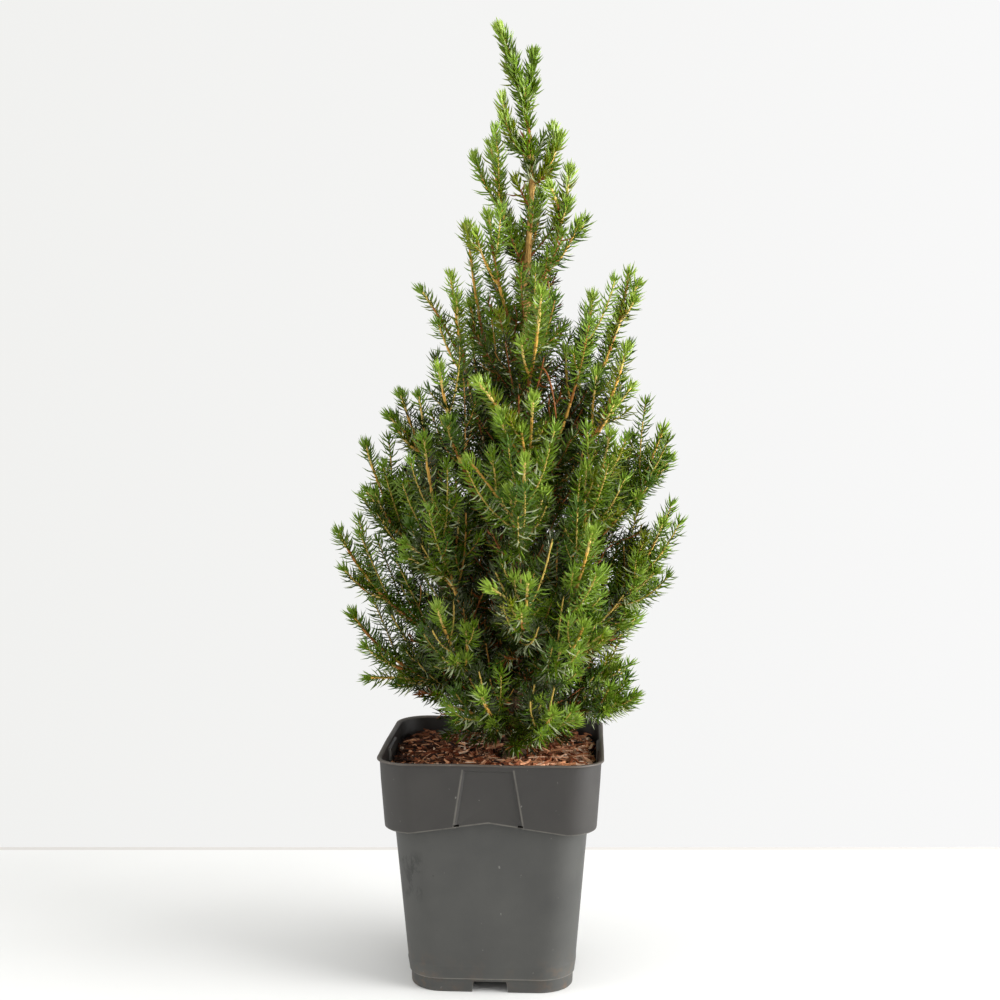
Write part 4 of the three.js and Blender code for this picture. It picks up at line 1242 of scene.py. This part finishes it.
class Wiring:
    """Short ways to add nodes to a material or a group and join them up."""

    def __init__(self, tree):
        self.tree = tree

    def node(self, kind, **settings):
        made = self.tree.nodes.new(kind)
        for name, value in settings.items():
            setattr(made, name, value)
        return made

    def join(self, source, socket):
        if hasattr(source, "is_output"):
            self.tree.links.new(source, socket)
        else:
            socket.default_value = source

    def fed(self, kind, *sources, **settings):
        """A new node with its first inputs joined to the sources."""
        made = self.node(kind, **settings)
        for source, socket in zip(sources, made.inputs):
            self.join(source, socket)
        return made

    def math(self, operation, *values):
        return self.fed("ShaderNodeMath", *values, operation=operation).outputs[0]

    def times(self, product, *values):
        for value in values:
            product = self.math("MULTIPLY", product, value)
        return product

    def noise(self, vector, scale, detail=3.0, roughness=0.55, distortion=0.0):
        made = self.node("ShaderNodeTexNoise")
        for label, value in (("Vector", vector), ("Scale", scale), ("Detail", detail),
                             ("Roughness", roughness), ("Distortion", distortion)):
            self.join(value, made.inputs[label])
        return made.outputs["Fac"]

    def stretch(self, vector, scale):
        return self.fed("ShaderNodeVectorMath", vector, scale, operation="MULTIPLY").outputs[0]

    def ramp(self, factor, *stops):
        made = self.fed("ShaderNodeValToRGB", factor)
        marks = made.color_ramp.elements
        while len(marks) < len(stops):
            marks.new(0.5)
        for mark, (place, colour) in zip(marks, stops):
            mark.position, mark.color = place, srgb(*colour)
        return made.outputs[0]

    def spread(self, value, low, high, to_low=0.0, to_high=1.0):
        return self.fed("ShaderNodeMapRange", value, low, high, to_low, to_high).outputs[0]

    def band(self, value, start, full, full_to, end):
        """1 where the value lies between `full` and `full_to`, and 0 past `start` and `end`."""
        return self.times(self.spread(value, start, full), self.spread(value, end, full_to))

    def mix(self, factor, first, second):
        made = self.node("ShaderNodeMix", data_type="RGBA")
        self.join(factor, made.inputs["Factor"])
        colours = [socket for socket in made.inputs if socket.type == "RGBA"]
        for source, socket in zip((first, second), colours):
            self.join(source, socket)
        return next(socket for socket in made.outputs if socket.type == "RGBA")

    def place(self, group, **values):
        """Places a shared effect, with its own values by the inputs' names."""
        made = self.node("ShaderNodeGroup", node_tree=group)
        for label, value in values.items():
            self.join(value, made.inputs[label.replace("_", " ")])
        return made.outputs

    def surface(self, what):
        """Where the surface is, or what else is known of it."""
        return self.node("ShaderNodeNewGeometry").outputs[what]

    def here(self):
        return self.surface("Position")

    def axes(self, vector):
        outputs = self.fed("ShaderNodeSeparateXYZ", vector).outputs
        return outputs["X"], outputs["Y"], outputs["Z"]


def fine_grain():
    """The fine tooth of a surface: a height for the bump and a tone round a half."""
    group, w, given, out = effect("fine_grain", {"Scale": 900.0, "Cloud scale": 30.0},
                                  "Height", "Tone")
    w.join(w.noise(w.here(), given["Scale"], detail=2.0), out["Height"])
    w.join(w.noise(w.here(), given["Cloud scale"], detail=5.0, roughness=0.6), out["Tone"])
    return group


def fibres():
    """Long fibres and cracks of wood and bark, drawn out along a direction."""
    group, w, given, out = effect("fibres", {"Stretch": (900.0, 900.0, 220.0)}, "Height", "Tone")
    drawn = w.stretch(w.here(), given["Stretch"])
    ridge = w.noise(drawn, 1.0, detail=4.0, roughness=0.65, distortion=0.4)
    w.join(ridge, out["Height"])
    w.join(w.spread(ridge, 0.3, 0.7), out["Tone"])
    return group


def dirt():
    """Soil and dust that cling below a height and thin out upwards in patches."""
    group, w, given, out = effect(
        "dirt", {"Foot": 0.0, "Top": 0.03, "Patch scale": 60.0, "Amount": 0.5}, "Mask")
    low = w.spread(w.axes(w.here())[2], given["Foot"], given["Top"], 1.0, 0.0)
    patches = w.noise(w.here(), given["Patch scale"], detail=5.0, roughness=0.65)
    w.join(w.times(low, w.spread(patches, 0.48, 0.72), given["Amount"]), out["Mask"])
    return group


def edge_wear():
    """Rubbed edges: where the surface turns outwards sharply, broken up by patches."""
    group, w, given, out = effect(
        "edge_wear", {"Start": 0.52, "End": 0.62, "Patch scale": 90.0, "Amount": 0.6}, "Mask")
    sharp = w.spread(w.surface("Pointiness"), given["Start"], given["End"])
    patches = w.noise(w.here(), given["Patch scale"], detail=4.0)
    w.join(w.times(sharp, w.spread(patches, 0.35, 0.6, 0.35, 1.0), given["Amount"]), out["Mask"])
    return group


GRAIN, FIBRES_EFFECT, DIRT, WEAR = fine_grain(), fibres(), dirt(), edge_wear()


# ---------- finishes ----------

# The pot's colours: the ramps of its body and collar, the collar's darker as painted shade under the
# crown, then its marks in the order they lie.
POT_RAMPS = dict(
    body=((0.3, (58, 58, 56)), (0.7, (69, 69, 66))),
    collar=((0.3, (43, 41, 39)), (0.7, (53, 51, 48))),
)
# Among the marks, the light edge colour is a painted highlight along the moulded edges and beside
# each panel, broken up by patches, and the dark crease colour is painted shade in each panel's
# corners and under its top.
POT_MARKS = dict(
    worn=(122, 120, 114), smears=(34, 34, 32), light_nicks=(126, 124, 118),
    dark_nicks=(44, 43, 41), soil=(108, 82, 58), edges=(160, 155, 144), panel_crease_shade=(40, 38, 36),
    rim_soil=(62, 46, 34), inside=(24, 19, 15),
)
# Lines and patches on the pot in metres: where each starts, is full, is full to and ends.
POT_BANDS = dict(
    collar_foot=(0.0, 0.0002, 0.0007, 0.0012), foot_band=(0.0084, 0.0089, 0.0095, 0.01),
    smears=(0.06, 0.068, 0.09, 0.098), panel_edge_highlight=(-0.0004, 0.0, 0.0006, 0.0011),
    # Painted shade just inside each panel's sides.
    panel_shade_line=(-0.0026, -0.0019, -0.0013, -0.0009),
)
SMEAR_CORNER = dict(x=(-0.042, -0.047), y=(-0.038, -0.045))  # at the front left only
# Colours from dark to light, in display values.
CHIP_COLOURS = dict(
    light=((166, 98, 62), (230, 166, 122), (255, 232, 204)),
    red=((94, 44, 20), (150, 82, 48), (236, 176, 132)),
    dark=((30, 14, 6), (66, 34, 18), (130, 80, 48)),
)
SOIL_COLOURS = (0.2, (20, 10, 5)), (0.8, (54, 30, 17))
OLD_BARK = (0.15, (44, 29, 19)), (0.85, (108, 76, 50))
YOUNG_BARK = (0.15, (126, 82, 34)), (0.85, (226, 184, 106))
BARK_TURNS = (0.26, 0.47)  # heights in metres between which old bark gives way to young
BARK_SOIL, BARK_RUBBED = (48, 32, 22), (196, 160, 116)
WOOD_COLOURS = dict(
    stems_new=(214, 184, 104), stems_golden=(204, 156, 70), stems_brown=(164, 106, 46),
    stems_old=(138, 80, 40), twigs_new=(190, 160, 78), twigs_golden=(170, 122, 54),
    twigs_old=(146, 86, 42),
)
WOOD_ROUGHNESS = 0.7
NEEDLE_COLOURS = dict(
    new=(136, 162, 56), fresh=(110, 140, 40), leaf=(84, 110, 12), warm=(102, 114, 10),
    deep=(52, 72, 6), cool=(64, 94, 22), pale=(178, 187, 146), shade=(28, 41, 6),
    brown=(116, 64, 26),
)
NEEDLE_GLOSS = dict(
    roughness=0.24, Specular_IOR_Level=0.42, Specular_Tint=(1.0, 0.98, 0.72, 1.0),
)


def finish(name, roughness=0.6, **plain):
    """A material with a Principled shader, whose plain values are set on its own sockets."""
    material = bpy.data.materials.new(name)
    material.use_nodes = True
    shader = material.node_tree.nodes["Principled BSDF"]
    shader.inputs["Roughness"].default_value = roughness
    for label, value in plain.items():
        shader.inputs[label.replace("_", " ")].default_value = value
    return material, Wiring(material.node_tree), shader


def coat(w, shader, colour, height, strength, distance):
    """Gives the shader its colour, and a bump from a height."""
    w.join(colour, shader.inputs["Base Color"])
    made = w.node("ShaderNodeBump")
    for label, value in (("Strength", strength), ("Distance", distance), ("Height", height)):
        w.join(value, made.inputs[label])
    w.join(made.outputs[0], shader.inputs["Normal"])


def panel_lines(w, aside, out, height, broken):
    """A painted highlight along the edge outside each panel and painted shade in its corner and just
    under its top, as two masks.
    """
    foot, top = POT["collar_foot"] * MM, (POT["height"] - PANEL["below_rim"]) * MM
    shoulder = POT["shoulder_half"] * MM
    half = w.spread(height, foot, top, PANEL["foot_half"] * MM, PANEL["top_half"] * MM)
    past = w.math("SUBTRACT", aside, half)
    under = w.times(w.spread(height, top - 0.0022, top - 0.0015), w.spread(past, 0.0, -0.001))
    # Painted shade inside each panel's sides and under its top edge.
    corner = w.math("MAXIMUM", w.band(past, *POT_BANDS["panel_shade_line"]), under)
    held = w.times(w.spread(height, top + 0.0006, top + 0.0002),
                   w.spread(out, shoulder + 0.002, shoulder + 0.004), broken)
    return w.times(w.band(past, *POT_BANDS["panel_edge_highlight"]), held), w.times(corner, held)


def pot_masks(w):
    """How strongly each mark covers the pot, by name, and where the collar lies."""
    x, y, height = w.axes(w.here())
    across, along = w.math("ABSOLUTE", x), w.math("ABSOLUTE", y)
    aside, out = w.math("MINIMUM", across, along), w.math("MAXIMUM", across, along)
    arch = w.spread(aside, 0, POT["arch_half"] * MM, POT["arch_rise"] * MM, 0)
    above = w.math("SUBTRACT", w.math("SUBTRACT", height, arch), POT["collar_foot"] * MM)
    under_lip = w.spread(height, (POT["height"] - 8) * MM, (POT["height"] - 12) * MM)
    on_collar = w.times(w.spread(above, -0.002, -0.001), under_lip)
    rubbed = w.place(WEAR, Start=0.51, End=0.58, Patch_scale=70.0, Amount=0.5)["Mask"]
    cloud = w.noise(w.stretch(w.here(), (150.0, 150.0, 70.0)), 1.0, detail=5.0, roughness=0.7)
    broken = w.spread(cloud, 0.3, 0.55, 0.35, 1.0)
    corner = w.times(w.spread(x, *SMEAR_CORNER["x"]), w.spread(y, *SMEAR_CORNER["y"]))
    nicks = w.noise(w.stretch(w.here(), (300.0, 300.0, 190.0)), 1.0, detail=2.0)
    splashed = w.place(DIRT, Foot=0.0, Top=0.03, Patch_scale=150.0, Amount=0.75)["Mask"]
    panel_edge_highlight, panel_crease_shade = panel_lines(w, aside, out, height, broken)
    # Painted highlight lines along the collar's lower edge, the lip and the top of the foot band.
    lines = w.times(w.band(above, *POT_BANDS["collar_foot"]), 0.22)
    for line, strength in ((w.spread(height, 0.157, 0.1575), 0.16),
                           (w.band(height, *POT_BANDS["foot_band"]), 0.3)):
        lines = w.math("MAXIMUM", lines, w.times(line, strength))
    inward = w.fed("ShaderNodeVectorMath", w.surface("Normal"),
                   w.stretch(w.here(), (-1.0, -1.0, 0.0)), operation="DOT_PRODUCT")
    return w.spread(above, -0.0004, 0.0004), dict(
        worn=w.times(rubbed, w.math("SUBTRACT", 1.0, on_collar)),
        smears=w.times(w.spread(cloud, 0.5, 0.6), corner, w.band(height, *POT_BANDS["smears"]), 0.7),
        light_nicks=w.spread(nicks, 0.735, 0.76, 0.0, 0.5),
        dark_nicks=w.spread(nicks, 0.262, 0.24, 0.0, 0.55),
        soil=w.times(splashed, w.spread(aside, 0.03, 0.045, 0.25, 1.0)),
        edges=w.math("MAXIMUM", w.times(lines, broken), w.times(panel_edge_highlight, 0.2)),
        panel_crease_shade=w.times(panel_crease_shade, 0.5),
        rim_soil=w.times(w.spread(height, 0.1562, 0.1567), broken, 0.45),
        # The inner wall is darker below the lip.
        inside=w.times(w.spread(inward.outputs["Value"], 0.03, 0.05),
                       w.spread(height, 0.1575, 0.1562), 0.8),
    )


def pot_finish():
    """Matt dark grey recycled plastic, lighter on rubbed edges, with scuffs and a little soil;
    painted highlights line its moulded edges, and painted shade darkens its collar and its panels'
    corners.
    """
    material, w, shader = finish("pot_plastic", Specular_IOR_Level=0.42)
    grain = w.place(GRAIN, Scale=1500.0, Cloud_scale=26.0)
    collar, masks = pot_masks(w)
    # The collar takes the darker ramp: painted shade under the crown.
    colour = w.mix(collar, *(w.ramp(grain["Tone"], *stops) for stops in POT_RAMPS.values()))
    for name, mark in POT_MARKS.items():
        colour = w.mix(masks[name], colour, srgb(*mark))
    w.join(w.spread(grain["Tone"], 0.3, 0.7, 0.48, 0.6), shader.inputs["Roughness"])
    coat(w, shader, colour, grain["Height"], 0.12, 0.0004)
    return material


def chip_finish(name, dark, middle, light):
    """Shredded bark, each chip of its own shade, with fibres along it."""
    material, w, shader = finish(name, roughness=0.85, Specular_IOR_Level=0.25)
    own = w.ramp(w.surface("Random Per Island"), (0.0, dark), (0.5, middle), (1.0, light))
    grain = w.place(FIBRES_EFFECT, Stretch=(700.0, 700.0, 1100.0))
    streaked = w.mix(w.spread(grain["Tone"], 0, 1, 0.42, 0.0), own, srgb(*dark))
    coat(w, shader, streaked, grain["Height"], 0.7, 0.0008)
    return material


def bed_finish():
    material, w, shader = finish("mulch_ground", roughness=0.95, Specular_IOR_Level=0.15)
    grain = w.place(FIBRES_EFFECT, Stretch=(500.0, 500.0, 500.0))
    coat(w, shader, w.ramp(grain["Tone"], *SOIL_COLOURS), grain["Height"], 1.0, 0.002)
    return material


def bark_finish():
    """Bark that is dark and cracked at the foot and turns to smooth tan up the stem."""
    material, w, shader = finish("spruce_bark", roughness=0.8, Specular_IOR_Level=0.3)
    grain = w.place(FIBRES_EFFECT, Stretch=(700.0, 700.0, 150.0))
    young = w.spread(w.axes(w.here())[2], *BARK_TURNS)
    colour = w.mix(young, *(w.ramp(grain["Tone"], *stops) for stops in (OLD_BARK, YOUNG_BARK)))
    soil = w.place(DIRT, Foot=0.146, Top=0.2, Patch_scale=160.0, Amount=0.6)["Mask"]
    rubbed = w.place(WEAR, Start=0.52, End=0.64, Patch_scale=150.0, Amount=0.25)["Mask"]
    for mask, mark in ((soil, BARK_SOIL), (rubbed, BARK_RUBBED)):
        colour = w.mix(mask, colour, srgb(*mark))
    coat(w, shader, colour, grain["Height"], 0.6, 0.001)
    return material


def plain_finish(name, colour, **plain):
    return finish(name, Base_Color=srgb(*colour), **plain)[0]


# ---------- making the plant ----------

def make_wood(limbs, boughs):
    bark = bark_finish()
    trunk = new_object("trunk_bark", *trunk_mesh(limbs), bark)
    part_piece(trunk, "bark", "trunk")
    for bough in boughs:
        piece = new_object(f"bough_bark_{bough['name']}", *bough_mesh(bough), bark)
        part_piece(piece, "bark", f"bough_{bough['name']}")


def make_crown(limbs, boughs):
    source, crowd = grow_source_crown(limbs, boughs)
    top = finer_twigs(source, LEADER_TWIGS, SIDE_TWIG, crowd, lambda shoot: shoot.owner == "leader")
    side = finer_twigs(source, SIDE_TWIGS, SIDE_TWIG, crowd)
    inner = inner_twigs(limbs, crowd)
    sprigs = finer_twigs(source + side + inner, SPRIGS, SPRIG, crowd,
                         lambda shoot: shoot.length > SPRIG_STEM)
    shoots = source + top + side + inner + sprigs
    masses = [f"mass_{limb['name']}" for limb in limbs] + ["mass_leader"]
    for name, pile in sorted(wood_of_shoots(shoots + [bent_twig()]).items()):
        look = plain_finish(name, WOOD_COLOURS[name], roughness=WOOD_ROUGHNESS,
                            Specular_IOR_Level=0.3)
        part_piece(new_object(name, *pile.joined(), look), "bark", *masses)
    *needles, groups = dress(shoots)
    for group, colour in NEEDLE_COLOURS.items():
        mine, full = groups == group, group != "shade"
        look = plain_finish(f"needle_{group}", colour, **NEEDLE_GLOSS)
        faces = mine.sum() * (FULL_FACES if full else PLAIN_FACES)
        parts = np.array_split(np.flatnonzero(mine), int(np.ceil(faces / MOST_FACES)))
        for k, rows in enumerate(parts):
            mesh = needle_mesh(*(column[rows] for column in needles), full=full)
            piece = new_object(f"needles_{group}_{k + 1}", *mesh, look, smooth=False)
            part_piece(piece, "needles", *masses)


def make_mulch():
    part_piece(make_bed(bed_finish()), "bark_mulch", "mulch")
    looks = {}
    for label, measures in (("chips", CHIPS), ("fibres", FIBRES)):
        for kind, pile in sorted(strew(measures).items()):
            if kind not in looks:
                looks[kind] = chip_finish(f"bark_{kind}", *CHIP_COLOURS[kind])
            piece = new_object(f"mulch_{label}_{kind}", *pile.joined(), looks[kind], smooth=False)
            part_piece(piece, "bark_mulch", "mulch")


# ---------- stage, light and camera ----------

# In metres, with angles in radians, and the lens and its sensor in millimetres.
CAMERA = dict(place=(0.0647, -1.0622, 0.4023), pan=0.0575, dip=0.074, lens=56.3, sensor=36.0)
TABLE = dict(back=0.264, strip=0.008, wide=4.0, front=-4.0, cloud=3.0, shade=0.97)
# The strip's darker colour is painted shade along the floor's back edge, where it would meet the
# wall.
FLOOR_COLOUR, STRIP_COLOUR = (234, 234, 232), (214, 210, 206)
# The wall is painted lighter towards the right, as the light that falls on it there.
WALL_COLOURS = (0.0, (240, 240, 238)), (1.0, (249, 249, 249))
WALL_TURNS = (-0.45, 0.3)  # where the wall goes from the first to the second, left to right
ROOM_LIGHT = 0.67
LIGHTS_AIM = (0, 0, 0.3)
# Soft round lamps: place, size and power.
LIGHTS = dict(
    key_right=((1.4, -0.5, 1.2), 1.3, 16.5),
    side_right=((1.6, -0.35, 0.4), 1.5, 49.0),
    top=((0.3, 0.1, 1.9), 1.6, 7.5),
    front=((0.8, -1.6, 1.0), 1.0, 0.8),
    side_left=((-1.3, -0.5, 0.7), 1.4, 13.0),
)


def make_stage():
    """The table, square to the camera, with a darker strip along its back edge as painted shade
    where the floor meets the wall.
    """
    back, wide = TABLE["back"] / MM, TABLE["wide"] / MM
    strips = [("floor", TABLE["front"] / MM, back, FLOOR_COLOUR),
              ("floor_edge", back, back + TABLE["strip"] / MM, STRIP_COLOUR)]
    cos, sin = math.cos(CAMERA["pan"]), math.sin(CAMERA["pan"])
    for name, near, far, colour in strips:
        material, w, shader = finish(name, 0.5, Specular_IOR_Level=0.3)
        shade = tuple(value * TABLE["shade"] for value in colour)
        cloud = w.noise(w.here(), TABLE["cloud"], detail=2.0)
        w.join(w.ramp(cloud, (0.3, shade), (0.7, colour)), shader.inputs["Base Color"])
        corners = [(x * cos - y * sin, x * sin + y * cos, 0)
                   for x, y in ((-wide, near), (wide, near), (wide, far), (-wide, far))]
        new_object(name, corners, [(0, 1, 2, 3)], material, smooth=False)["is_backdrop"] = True


def make_world():
    """The room seen behind the plant, and the weaker light that it gives."""
    world = bpy.data.worlds.new("studio")
    bpy.context.scene.world = world
    world.use_nodes = True
    w = Wiring(world.node_tree)
    across, _, _ = w.axes(w.node("ShaderNodeTexCoord").outputs["Generated"])
    background = world.node_tree.nodes["Background"]
    w.join(w.ramp(w.spread(across, *WALL_TURNS), *WALL_COLOURS), background.inputs["Color"])
    seen = w.node("ShaderNodeLightPath").outputs["Is Camera Ray"]
    w.join(w.spread(seen, 0, 1, ROOM_LIGHT, 1.0), background.inputs["Strength"])


def aimed(name, data, place, way):
    """A lamp or the camera at its place, looking along a direction."""
    made = in_scene(name, data)
    made.location = place
    made.rotation_euler = way.to_track_quat("-Z", "Y").to_euler()
    return made


def soft_light(name, place, size, power):
    light = bpy.data.lights.new(name, "AREA")
    light.shape, light.size, light.energy = "DISK", size, power
    aimed(name, light, place, Vector(LIGHTS_AIM) - Vector(place))


def make_camera():
    camera = bpy.data.cameras.new("camera")
    camera.lens, camera.sensor_width = CAMERA["lens"], CAMERA["sensor"]
    pan, dip = CAMERA["pan"], CAMERA["dip"]
    way = Vector((-math.sin(pan) * math.cos(dip), math.cos(pan) * math.cos(dip), -math.sin(dip)))
    bpy.context.scene.camera = aimed("camera", camera, CAMERA["place"], way)


make_camera()
limbs = lay_out()
boughs = [limb for limb in limbs if limb["carried"]]
make_pot(pot_finish())
make_mulch()
make_wood(limbs, boughs)
make_crown(limbs, boughs)
make_stage()
make_world()
for label, measures in LIGHTS.items():
    soft_light(label, *measures)
bpy.context.scene.view_settings.view_transform = "Standard"

boxes = {"cad": CAD_BOX, "visual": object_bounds()}
{name: [[float(v) for v in corner] for corner in box] for name, box in boxes.items()}
